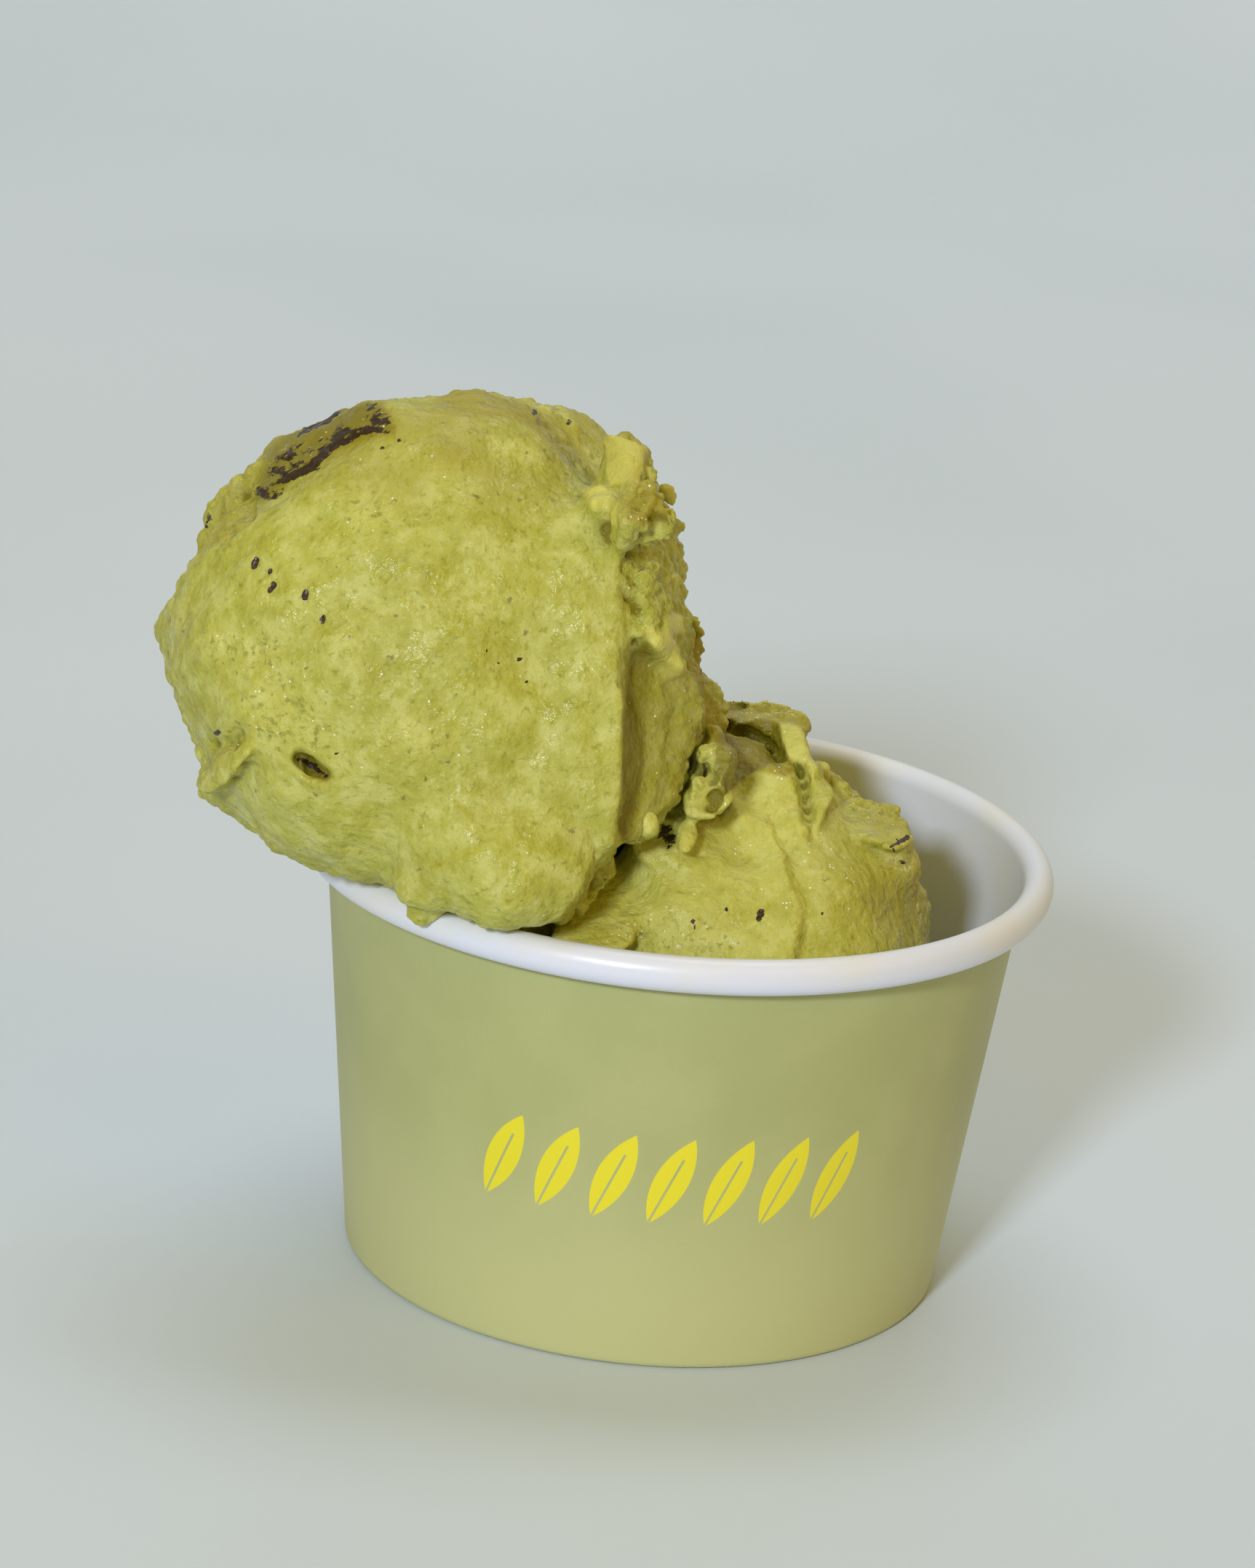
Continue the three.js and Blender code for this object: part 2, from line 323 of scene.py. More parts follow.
def grains(points: Array, pitch: float, seed: int) -> tuple[Array, Array]:
    """Distance to the nearest of many scattered grains, and a number for that grain.

    Args:
        points: Places, one a row.
        pitch: Mean distance between grains.
        seed: Which scatter.

    Returns:
        The distance as a share of the pitch, and a number from 0 to 1 that each grain has.
    """
    scaled = points / pitch
    cell = np.floor(scaled)
    nearest = np.full(len(points), 9.0)
    mark = np.zeros(len(points))
    for step in np.ndindex(3, 3, 3):
        near = cell + np.array(step) - 1
        spot = near + np.stack([lattice(near, seed + k) for k in (1, 2, 3)], axis=1)
        distance = np.linalg.norm(scaled - spot, axis=1)
        closer = distance < nearest
        nearest = np.where(closer, distance, nearest)
        mark = np.where(closer, lattice(near, seed + 4), mark)
    return nearest, mark


def pebbles(points: Array, pitch: float, seed: int, least: float = 0.35, most: float = 0.8) -> Array:
    """Height of a bed of round pebbles of mixed sizes.

    Args:
        points: Places, one a row.
        pitch: Mean distance between pebbles.
        seed: Which bed.
        least: The smallest pebble's radius as a share of the pitch.
        most: The largest one's.

    Returns:
        The height in millimetres, 0 between pebbles.
    """
    scaled = points / pitch
    cell = np.floor(scaled)
    height = np.zeros(len(points))
    for step in np.ndindex(3, 3, 3):
        near = cell + np.array(step) - 1
        spot = near + np.stack([lattice(near, seed + k) for k in (1, 2, 3)], axis=1)
        radius = least + (most - least) * lattice(near, seed + 4) ** 2
        square = radius**2 - ((scaled - spot) ** 2).sum(1)
        height = np.maximum(height, np.sqrt(np.maximum(square, 0)))
    return height * pitch


def most(*masks: Array) -> Array:
    """The largest of several masks, point by point."""
    return np.maximum.reduce(masks)


def ease(values: Array, low: float, high: float) -> Array:
    """Values eased from 0 at low to 1 at high; low may be the larger."""
    t = np.clip((values - low) / (high - low), 0.0, 1.0)
    return t * t * (3 - 2 * t)


# ------------------------------------------------------------------ marks made on clay


GROUND_STRAY = 2.5  # how far a dab's ground may lie before or behind the ground at its middle


class Push(Enum):
    """Which way a mark moves clay."""

    OUT = "along the surface's own normal"
    SIGHT = "towards the camera"


@dataclass(frozen=True)
class Stroke:
    """A stroke of a tool: a path on the sight plane, its half width, and how far it moves clay.

    With a second height the stroke makes a step: `right` is the height to the right of the path,
    walking along it, and `height` the one to its left. `step` is the width of that step.
    """

    path: Path
    width: float
    height: float
    right: Optional[float] = None
    step: float = 0.5
    push: Push = Push.OUT

    def shift(self, seen: Array) -> Array:
        """How far it moves each point.

        Args:
            seen: Points on the sight plane, one a row.

        Returns:
            The shift in millimetres.
        """
        distance, side = path_distance(seen, self.path)
        fall = np.exp(-((distance / self.width) ** 2))
        if self.right is None:
            return self.height * fall
        turn = ease(side * distance, -self.step, self.step)
        return (self.height + (self.right - self.height) * turn) * fall


@dataclass(frozen=True)
class Pad:
    """A patch of clay raised or sunk inside an outline on the sight plane.

    It fades out towards `low` where that is given: heights on the sight plane at which it starts
    and is whole.
    """

    outline: Path
    height: float
    edge: float = 0.5
    low: Optional[Fade] = None
    push: Push = Push.OUT

    def shift(self, seen: Array) -> Array:
        """How far it moves each point of the sight plane, in millimetres."""
        inside = outline_depth(seen, self.outline)
        amount = self.height * ease(inside, -self.edge, self.edge)
        return amount if self.low is None else amount * ease(seen[:, 1], *self.low)


Mark = Union[Stroke, Pad]


@dataclass(frozen=True)
class Dab:
    """A dab of clay with its own outline on the sight plane, that stands on a surface.

    `rise` is how far it stands out, `sink` how far it reaches in, and `flat` how flat its face is,
    where 2 is round. With a `depth` it is placed there along Y, whatever is behind it, and `lean` is
    how that depth grows with each millimetre across and up.
    """

    outline: Path
    rise: float
    sink: float = 1.5
    flat: float = 2.0
    depth: Optional[float] = None
    lean: tuple[float, float] = (0.0, 0.0)
    lumps: float = 0.12
    large: bool = False

    def build(self, ground: Piece, seed: int) -> Piece:
        """Shape the dab.

        Args:
            ground: The surface that it stands on.
            seed: Which unevenness it gets.

        Returns:
            The dab as a piece of its own.
        """
        piece = ball((0.0, 0.0, 0.0), (1.0, 1.0, 1.0), detail=5 if self.large else 4)
        clay = Clay(piece)
        unit = clay.places / np.linalg.norm(clay.places, axis=1)[:, None]
        corners = np.array(self.outline, float)
        middle = corners.mean(0)
        turn = np.arctan2(unit[:, 2], unit[:, 0])
        reach = outline_reach(corners - middle, turn)
        share = (1 - np.abs(unit[:, 1]) ** self.flat) ** (1 / self.flat)
        seen = middle + np.stack([np.cos(turn), np.sin(turn)], 1) * (reach * share)[:, None]
        eye = np.array(VIEW.place)
        ahead = VIEW.ray(*middle)[1]
        base = self.ground_distance(ground, seen, middle)
        out = np.where(unit[:, 1] < 0, self.rise, -self.sink) * np.abs(unit[:, 1])
        rays = np.stack([seen[:, 0], np.full(len(seen), VIEW.sight_depth), seen[:, 1]], 1) - eye
        rays /= np.linalg.norm(rays, axis=1)[:, None]
        clay.places = eye + rays * ((base - out) / (rays @ ahead))[:, None]
        clay.write()
        clay.swell(noise(clay.places, 1.6, seed, 2) * self.lumps * 2)
        clay.write()
        return piece

    def ground_distance(self, ground: Piece, seen: Array, middle: Array) -> Array:
        """Distance from the eye, along the middle's line of sight, of the ground behind points.

        Args:
            ground: The surface.
            seen: Points on the sight plane.
            middle: The dab's middle.

        Returns:
            One distance a point, held near that of the middle.
        """
        eye = np.array(VIEW.place)
        ahead = VIEW.ray(*middle)[1]
        centre = first_hit([ground], *middle) if self.depth is None else None
        if centre is None:
            depth = VIEW.sight_depth if self.depth is None else self.depth
            return (depth + (seen - middle) @ self.lean - eye[1]) / ahead[1]
        home = float((centre[0] - eye) @ ahead)
        near = []
        for across, up in seen:
            hit = first_hit([ground], across, up)
            near.append(home if hit is None else float((hit[0] - eye) @ ahead))
        return np.clip(np.array(near), home - GROUND_STRAY, home + GROUND_STRAY)


def crumb(across: float, up: float, wide: float, tall: float, seed: int) -> Path:
    """A small uneven outline.

    Args:
        across: Its middle's distance across on the sight plane.
        up: Its middle's height.
        wide: Its half width.
        tall: Its half height.
        seed: Which unevenness it gets.

    Returns:
        Its corners.
    """
    chance = np.random.default_rng(seed)
    turns = 2 * np.pi * (np.arange(7) + chance.uniform(-0.3, 0.3, 7)) / 7
    reach = chance.uniform(0.75, 1.15, 7)
    return [(across + wide * r * math.cos(t), up + tall * r * math.sin(t)) for r, t in zip(reach, turns)]


@dataclass
class Clay:
    """A piece's mesh as arrays, in millimetres from the cup's axis."""

    piece: Piece
    places: Array = field(init=False)
    normals: Array = field(init=False)

    def __post_init__(self) -> None:
        """Read the mesh."""
        self.read()

    def read(self) -> None:
        """Take the mesh's places and normals."""
        mesh = self.piece.data
        flat = np.empty(len(mesh.vertices) * 3)
        mesh.vertices.foreach_get("co", flat)
        self.places = flat.reshape(-1, 3) / MM - np.array(CUP.axis) / MM
        flat = np.empty(len(mesh.vertices) * 3)
        mesh.vertices.foreach_get("normal", flat)
        self.normals = flat.reshape(-1, 3).copy()

    def write(self) -> None:
        """Give the mesh its places back, and take its new normals."""
        flat = ((self.places + np.array(CUP.axis) / MM) * MM).ravel()
        self.piece.data.vertices.foreach_set("co", flat)
        self.piece.data.update()
        self.read()

    def towards(self) -> Array:
        """Each point's direction to the camera."""
        towards = np.array(VIEW.place) - self.places
        return towards / np.linalg.norm(towards, axis=1)[:, None]

    def facing(self) -> Array:
        """How squarely each point faces the camera, from -1 to 1."""
        return (self.normals * self.towards()).sum(1)

    def shown(self, low: float = -0.05, high: float = 0.15) -> Array:
        """1 for points that face the camera, eased to 0 for those that face away."""
        return ease(self.facing(), low, high)

    def swell(self, amount: Array) -> None:
        """Move each point out along its normal by an amount."""
        self.places += self.normals * amount[:, None]

    def mark(self, marks: Sequence[Mark]) -> None:
        """Make marks, one after the other, on what faces the camera."""
        for made in marks:
            shift = made.shift(VIEW.sight(self.places)) * self.shown(-0.15, 0.12)
            if made.push is Push.OUT:
                self.swell(shift)
            else:
                self.places += self.towards() * shift[:, None]
            self.write()

    def carry_face(self, edge: Path, reach: float, sample: float, droop: float) -> None:
        """Bring the clay inside an edge out to where the smooth face next to it would carry on.

        Args:
            edge: The edge on the sight plane, walked so that the face lies to its right.
            reach: How far from the edge the clay is moved.
            sample: How far from the edge the smooth face is measured.
            droop: How fast the carried face falls back towards the edge.
        """
        low, high = 44.0, 104.0  # between these heights the face is measured
        top_fade, low_fade = (99.0, 88.0), (42.5, 48.0)  # heights between which the carrying fades in
        furthest = 11.0
        seen = VIEW.sight(self.places)
        distance, side = path_distance(seen, edge)
        away = np.linalg.norm(self.places - np.array(VIEW.place), axis=1)
        face = (side > 0) & (self.facing() > 0.3) & (distance > reach) & (distance < sample)
        face &= (seen[:, 1] > low) & (seen[:, 1] < high)
        height = (seen[:, 1] - (low + high) / 2) / ((high - low) / 3)
        rows = np.stack([height**power for power in range(5)], 1)
        level = rows @ np.linalg.lstsq(rows[face], away[face], rcond=None)[0]
        level += droop * np.clip(sample - distance, 0, None) ** 2
        share = ease(distance, reach, 0.4 * reach) * (side > 0) * self.shown(-0.1, 0.05)
        share *= ease(seen[:, 1], *top_fade) * ease(seen[:, 1], *low_fade)
        self.places += self.towards() * (np.clip(away - level, 0, furthest) * share)[:, None]
        self.write()

    def bring_out(self, edge: Path, amount: float, width: float, low: Fade, high: Fade) -> None:
        """Bring the torn clay outside an edge out towards the camera.

        Args:
            edge: The edge on the sight plane, walked so that the torn clay lies to its left.
            amount: How far it is brought out, or pushed back where below zero.
            width: How far from the edge this reaches.
            low: Heights between which it fades in, at the lower end.
            high: The same at the upper end.
        """
        seen = VIEW.sight(self.places)
        distance, side = path_distance(seen, edge)
        share = ease(distance, width, 0.5 * width) * (side < 0) * self.shown(-0.1, 0.1)
        share *= ease(seen[:, 1], *low) * ease(seen[:, 1], *high)
        self.places += self.towards() * (amount * share)[:, None]
        self.write()

    def near(self, path: Path, width: float) -> Array:
        """How near each facing point seems to a path, from 0 to 1."""
        distance, _ = path_distance(VIEW.sight(self.places), path)
        return np.exp(-((distance / width) ** 2)) * self.shown()

    def within(self, outline: Path, edge: float) -> Array:
        """1 for facing points inside an outline on the sight plane, 0 outside it."""
        inside = outline_depth(VIEW.sight(self.places), outline)
        return ease(inside, -edge, edge) * self.shown()

    def dotted(self, spots: Spots) -> Array:
        """How near each facing point seems to one of several spots, from 0 to 1."""
        return most(*(self.near(((across, up),), width) for across, up, width in spots))

    def keep(self, name: str, values: Array) -> None:
        """Store one number a point as a mesh attribute that a material can read."""
        layer = self.piece.data.attributes.get(name)
        if layer is None:
            layer = self.piece.data.attributes.new(name, "FLOAT", "POINT")
        layer.data.foreach_set("value", np.clip(values, 0.0, 1.0).astype(np.float32))

    def hollowness(self, rounds: int) -> Array:
        """How far each point lies below the mean of its surroundings.

        Args:
            rounds: How many times the mean is taken, so how wide the surroundings are.

        Returns:
            The depth in millimetres, above zero in hollows.
        """
        mesh = self.piece.data
        edges = np.empty(len(mesh.edges) * 2, np.int64)
        mesh.edges.foreach_get("vertices", edges)
        first, second = edges.reshape(-1, 2).T
        size = len(self.places)
        count = np.bincount(first, minlength=size) + np.bincount(second, minlength=size)
        mean = self.places.copy()
        for _ in range(rounds):
            total = np.empty_like(mean)
            for axis in range(3):
                total[:, axis] = np.bincount(first, mean[second, axis], size)
                total[:, axis] += np.bincount(second, mean[first, axis], size)
            mean = total / np.maximum(count, 1)[:, None]
        depth = ((mean - self.places) * self.normals).sum(1)
        for _ in range(3):
            near = np.bincount(first, depth[second], size) + np.bincount(second, depth[first], size)
            depth = 0.4 * depth + 0.6 * near / np.maximum(count, 1)
        return depth


def path_distance(seen: Array, path: Path) -> tuple[Array, Array]:
    """Distance of points from a path on the sight plane, and the side that they lie on.

    Args:
        seen: Points on the sight plane, one a row.
        path: The path's corners; one corner alone is a dot.

    Returns:
        The distance, and 1 for the path's right side or -1 for its left.
    """
    corners = np.array(path, float)
    if len(corners) == 1:
        return np.linalg.norm(seen - corners[0], axis=1), np.ones(len(seen))
    best = np.full(len(seen), 1e9)
    side = np.ones(len(seen))
    for start, end in zip(corners[:-1], corners[1:]):
        run = end - start
        share = np.clip((seen - start) @ run / (run @ run), 0, 1)
        distance = np.linalg.norm(seen - start - share[:, None] * run, axis=1)
        cross = run[0] * (seen[:, 1] - start[1]) - run[1] * (seen[:, 0] - start[0])
        side = np.where(distance < best, np.where(cross < 0, 1.0, -1.0), side)
        best = np.minimum(best, distance)
    return best, side


def outline_depth(seen: Array, outline: Path) -> Array:
    """How deep points lie inside an outline on the sight plane; below zero outside it."""
    corners = np.array(outline, float)
    distance, _ = path_distance(seen, [*corners, corners[0]])
    odd = np.zeros(len(seen), bool)
    for start, end in zip(corners, np.roll(corners, -1, axis=0)):
        rise = end[1] - start[1]
        if rise == 0:
            continue
        spans = (start[1] > seen[:, 1]) != (end[1] > seen[:, 1])
        across = start[0] + (seen[:, 1] - start[1]) * (end[0] - start[0]) / rise
        odd ^= spans & (seen[:, 0] < across)
    return np.where(odd, distance, -distance)


def outline_reach(corners: Array, turns: Array) -> Array:
    """Distance from an outline's middle to its edge in given directions.

    Args:
        corners: The outline about its middle.
        turns: Directions in radians.

    Returns:
        One distance a direction, rounded a little at the corners.
    """
    angles = np.arctan2(corners[:, 1], corners[:, 0])
    order = np.argsort(angles)
    angles, reach = angles[order], np.linalg.norm(corners, axis=1)[order]
    angles = np.concatenate([angles - 2 * np.pi, angles, angles + 2 * np.pi])
    return np.interp(turns, angles, np.tile(reach, 3))


# ------------------------------------------------------------------ shader boards


@dataclass(frozen=True)
class Wire:
    """A shader socket that can be used in arithmetic."""

    board: "Board"
    socket: bpy.types.NodeSocket

    def _maths(self, operation: str, first: "Value", second: "Value") -> "Wire":
        """One Math node."""
        return self.board.node("ShaderNodeMath", {"operation": operation}, {0: first, 1: second})

    def __add__(self, other: "Value") -> "Wire":
        """self + other."""
        return self._maths("ADD", self, other)

    __radd__ = __add__

    def __sub__(self, other: "Value") -> "Wire":
        """self - other."""
        return self._maths("SUBTRACT", self, other)

    def __rsub__(self, other: "Value") -> "Wire":
        """other - self."""
        return self._maths("SUBTRACT", other, self)

    def __mul__(self, other: "Value") -> "Wire":
        """self * other."""
        return self._maths("MULTIPLY", self, other)

    __rmul__ = __mul__

    def __truediv__(self, other: "Value") -> "Wire":
        """self / other."""
        return self._maths("DIVIDE", self, other)

    def __pow__(self, other: "Value") -> "Wire":
        """self ** other."""
        return self._maths("POWER", self, other)

    def __abs__(self) -> "Wire":
        """The size without its sign."""
        return self._maths("ABSOLUTE", self, 0.0)

    def twin(self, output: str) -> "Wire":
        """Another output of the same node."""
        return Wire(self.board, self.socket.node.outputs[output])

    def most(self, other: "Value") -> "Wire":
        """The larger of two values."""
        return self._maths("MAXIMUM", self, other)

    def least(self, other: "Value") -> "Wire":
        """The smaller of two values."""
        return self._maths("MINIMUM", self, other)

    def eased(self, low: float, high: float, start: float = 0.0, end: float = 1.0) -> "Wire":
        """The value eased from start at low to end at high."""
        settings = {"interpolation_type": "SMOOTHSTEP", "clamp": True}
        return self.board.node(
            "ShaderNodeMapRange", settings, {"Value": self, 1: low, 2: high, 3: start, 4: end}, "Result"
        )


Value = Union[Wire, float, Sequence[float]]
Sockets = dict[Union[str, int], Any]  # values or wires by a socket's name or number


@dataclass
class Board:
    """A material's node tree."""

    name: str
    material: Material = field(init=False)

    def __post_init__(self) -> None:
        """Start an empty tree."""
        self.material = bpy.data.materials.new(self.name)
        self.material.use_nodes = True
        self.material.node_tree.nodes.clear()

    def node(
        self,
        kind: str,
        settings: Optional[dict[str, Any]] = None,
        inputs: Optional[Sockets] = None,
        output: Union[str, int] = 0,
    ) -> Wire:
        """Add a node.

        Args:
            kind: The node's type.
            settings: Its own settings, set first.
            inputs: Values or wires for its sockets.
            output: Which of its outputs is wanted.

        Returns:
            That output.
        """
        node = self.material.node_tree.nodes.new(kind)
        for key, value in (settings or {}).items():
            setattr(node, key, value)
        for key, value in (inputs or {}).items():
            if isinstance(value, Wire):
                self.material.node_tree.links.new(value.socket, node.inputs[key])
            else:
                node.inputs[key].default_value = value
        return Wire(self, node.outputs[output])

    def mix(self, share: Value, first: Value, second: Value) -> Wire:
        """Two colours mixed."""
        inputs = {"Factor": share, 6: first, 7: second}
        return self.node("ShaderNodeMix", {"data_type": "RGBA"}, inputs, 2)

    def layered(self, ground: RGB, *layers: tuple[Value, RGB]) -> Wire:
        """A ground colour with other colours laid over it, each by its share."""
        tint: Value = colour(*ground)
        for share, shade in layers:
            tint = self.mix(share, tint, colour(*shade))
        return tint

    def vector(self, operation: str, first: Value, second: Value, output: str = "Vector") -> Wire:
        """One Vector Math node."""
        return self.node("ShaderNodeVectorMath", {"operation": operation}, {0: first, 1: second}, output)

    def place(self) -> Wire:
        """Object coordinates: the piece's own place in metres."""
        return self.node("ShaderNodeTexCoord", {}, {}, "Object")

    def noise(self, place: Wire, pitch: float, detail: float = 2.0, rough: float = 0.5) -> Wire:
        """Noise whose largest lumps are about `pitch` millimetres."""
        inputs = {"Vector": place, "Scale": 1 / (pitch * MM), "Detail": detail, "Roughness": rough}
        return self.node("ShaderNodeTexNoise", {}, inputs, "Fac")

    def cells(self, place: Wire, pitch: float) -> Wire:
        """Distance to the nearest of scattered points, as a share of their pitch in millimetres."""
        inputs = {"Vector": place, "Scale": 1 / (pitch * MM)}
        return self.node("ShaderNodeTexVoronoi", {"feature": "F1"}, inputs, "Distance")

    def lot(self, cells: Wire) -> Wire:
        """A number from 0 to 1 that each cell has."""
        return self.node("ShaderNodeSeparateColor", {}, {"Color": cells.twin("Color")})

    def drift(self, place: Wire, pitch: float, reach: float) -> Wire:
        """A small random shift of places.

        Args:
            place: The place on the piece.
            pitch: Size of the noise's lumps in millimetres.
            reach: How far it shifts, in millimetres.

        Returns:
            The shift in metres.
        """
        wave = self.noise(place, pitch).twin("Color")
        centred = self.vector("SUBTRACT", wave, (0.5, 0.5, 0.5))
        return self.vector("MULTIPLY", centred, (2 * reach * MM,) * 3)

    def attribute(self, name: str) -> Wire:
        """A number stored on the mesh."""
        return self.node("ShaderNodeAttribute", {"attribute_name": name}, {}, "Fac")

    def bump(self, height: Wire, distance: float, strength: float, under: Optional[Wire] = None) -> Wire:
        """A bump `distance` millimetres deep, over another one where given."""
        inputs: Sockets = {"Height": height, "Distance": distance * MM, "Strength": strength}
        if under is not None:
            inputs["Normal"] = under
        return self.node("ShaderNodeBump", {}, inputs)

    def finish(self, shader: Sockets) -> Material:
        """Close the tree with a Principled shader.

        Args:
            shader: The shader's inputs.

        Returns:
            The material.
        """
        surface = self.node("ShaderNodeBsdfPrincipled", {}, shader)
        output = self.material.node_tree.nodes.new("ShaderNodeOutputMaterial")
        self.material.node_tree.links.new(surface.socket, output.inputs["Surface"])
        return self.material


def colour(red: int, green: int, blue: int) -> tuple[float, float, float, float]:
    """A display colour, each part 0 to 255, as the linear one that shaders use."""

    def linear(part: int) -> float:
        """One part made linear."""
        share = part / 255
        return share / 12.92 if share <= 0.04045 else ((share + 0.055) / 1.055) ** 2.4

    return (linear(red), linear(green), linear(blue), 1.0)


# ------------------------------------------------------------------ finishes


@dataclass(frozen=True)
class GelatoFinish:
    """Pistachio gelato: mottled yellow-green, with ground nut and pores in it, painted wet glints, and
    painted light and shade.
    """

    name: str = "pistachio_gelato"
    body: RGB = (180, 181, 82)
    pale: RGB = (200, 201, 122)
    # painted light: laid over lit lumps and faces where the pale mask asks for it
    painted_light: RGB = (214, 210, 112)
    deep: RGB = (156, 153, 40)
    # painted shade on the top, the scraped strip, the patches under the curl and the small scoop's petal and
    # shelf; the streaky patch is ochre in its own tint
    brownish_tone: RGB = (156, 144, 40)
    # painted shade: a dark olive laid into hollows, the deep slot and shaded faces; on the streaky patch the
    # same olive is that patch's own tint
    hollow: RGB = (122, 112, 12)
    green: RGB = (134, 138, 26)
    # painted shade in the small pits of the pores
    pore: RGB = (106, 112, 8)
    nut: RGB = (96, 76, 44)
    skin: RGB = (52, 36, 24)
    # pale frost on the small scoop's right flank, and painted glints along the shelf's streaks
    frost_and_glint: RGB = (206, 204, 158)
    glint: RGB = (238, 238, 224)
    fibre_run: Point = (0.86, 0.0, 0.51)
    fibre_rise: Point = (-0.51, 0.0, 0.86)

    def material(self) -> Material:
        """Make the material.

        Returns:
            The material.
        """
        board = Board(self.name)
        place = board.place()
        rough, nut, frost_and_glint, pale, ochre_and_shade, hollow, pore, glint = map(board.attribute, MASKS)
        broad = board.noise(place, 11.0)
        mottle = board.noise(place, 3.0, 4.0, 0.6)
        fine = board.noise(place, 0.9, 3.0, 0.65)
        grain = board.noise(place, 0.35, 2.0, 0.7)
        holes = self.pores(board, place, pore)

        skin = self.skins(board, place, nut)
        painted_glints = self.painted_glints(board, place, glint)
        tint = board.layered(
            self.body,
            (broad.eased(0.35, 0.7, 0.0, 0.35), self.deep),
            (mottle.eased(0.44, 0.66, 0.0, 0.7), self.pale),
            (mottle.eased(0.48, 0.3, 0.0, 0.45), self.deep),
            (fine.eased(0.55, 0.72, 0.0, 0.6), self.green),
            (fine.eased(0.44, 0.28, 0.0, 0.5), self.pale),
            # painted light on lit lumps and faces
            (pale * 0.65, self.painted_light),
            # painted shade, and the streaky patch's own ochre
            (ochre_and_shade * mottle.eased(0.3, 0.6, 0.55, 0.95), self.brownish_tone),
            # painted shade in hollows and on shaded faces, and the streaky patch's own olive
            (hollow.eased(0.08, 0.8, 0.0, 0.9), self.hollow),
            # painted shade in the pores
            (holes * 0.9, self.pore),
            (self.flecks(board, place), self.nut),
            (skin, self.skin),
            # frost on the flank, and painted glints along the shelf's streaks
            (frost_and_glint * grain.eased(0.45, 0.6), self.frost_and_glint),
            # painted glints
            (painted_glints, self.glint),
        )

        wet = board.noise(place, 2.6).eased(0.5, 0.62) * (1.0 - pale * 0.5) * (1.0 - nut * 0.8)
        dull = (0.56 - wet * 0.3 - skin * 0.1 + frost_and_glint * 0.1) * (1.0 - painted_glints * 0.7)
        lumps = board.noise(place, 1.3, 3.0, 0.55)
        beads = board.cells(place, 0.55)
        under = board.bump(lumps, 0.7, 0.6)
        under = board.bump((1.0 - beads) * (wet * 0.8 + rough * 0.2), 0.12, 0.8, under)
        relief = board.bump(grain * (rough * 0.6 + 0.3) + fine * 0.7 - holes * 2.0, 0.25, 0.7, under)
        return board.finish(
            {
                "Base Color": tint,
                "Roughness": dull,
                "Normal": relief,
                "Subsurface Weight": 0.45,
                "Subsurface Radius": (1.0, 0.85, 0.3),
                "Subsurface Scale": 1.2 * MM,
                "Specular IOR Level": 0.42,
            }
        )

    def pores(self, board: Board, place: Wire, share: Wire) -> Wire:
        """Small, soft-edged open pores, where the mesh says so; their dark colour is painted shade.

        Args:
            board: The material's tree.
            place: The place on the piece.
            share: How porous the mesh is.

        Returns:
            How much of a pore each place holds.
        """
        spots = board.noise(place, 0.85, 3.0, 0.6)
        return (spots + share * 0.2).eased(0.63, 0.86) * share.eased(0.02, 0.3) * 0.6

    def painted_glints(self, board: Board, place: Wire, share: Wire) -> Wire:
        """Painted glints: white dots in the base colour, with less roughness; a few everywhere, and more
        where the mesh says so.

        Args:
            board: The material's tree.
            place: The place on the piece.
            share: How many the mesh asks for.

        Returns:
            1 on a glint, 0 elsewhere.
        """
        cells = board.cells(place, 0.42)
        return cells.eased(0.34, 0.2) * (board.lot(cells) + share * 0.2).eased(0.993, 1.0)

    def skins(self, board: Board, place: Wire, share: Wire) -> Wire:
        """Nut skin with torn, fibrous borders.

        Args:
            board: The material's tree.
            place: The place on the piece.
            share: How much skin the mesh asks for.

        Returns:
            1 on skin, 0 elsewhere.
        """
        run = board.vector("DOT_PRODUCT", place, self.fibre_run, "Value")
        rise = board.vector("DOT_PRODUCT", place, self.fibre_rise, "Value")
        drawn = board.node("ShaderNodeCombineXYZ", {}, {"X": run / 5.0, "Y": rise, "Z": 0.0})
        fibre = board.noise(drawn, 1.1, 3.0, 0.6)
        speck = board.noise(place, 0.6, 3.0, 0.6)
        torn = share + (fibre - 0.5) * 2.2 + (speck - 0.5) * 0.7
        return torn.eased(0.44, 0.56) * share.eased(0.05, 0.2)

    def flecks(self, board: Board, place: Wire) -> Wire:
        """Ground nut: a few small dark flecks.

        Args:
            board: The material's tree.
            place: The place on the piece.

        Returns:
            How much of a fleck each place holds.
        """
        cells = board.cells(board.vector("ADD", place, board.drift(place, 0.6, 0.6)), 2.4)
        return cells.eased(0.17, 0.08) * board.lot(cells).eased(0.78, 0.84) * 0.6


@dataclass(frozen=True)
class SkinFinish:
    """Dark, wet nut skin."""

    name: str = "nut_skin"
    dark: RGB = (42, 32, 22)
    brown: RGB = (82, 58, 40)

    def material(self) -> Material:
        """Make the material."""
        board = Board(self.name)
        grain = board.noise(board.place(), 0.5, 3.0)
        tint = board.layered(self.dark, (grain.eased(0.4, 0.65), self.brown))
        dull = grain.eased(0.3, 0.7, 0.25, 0.5)
        return board.finish({"Base Color": tint, "Roughness": dull, "Normal": board.bump(grain, 0.1, 0.6)})


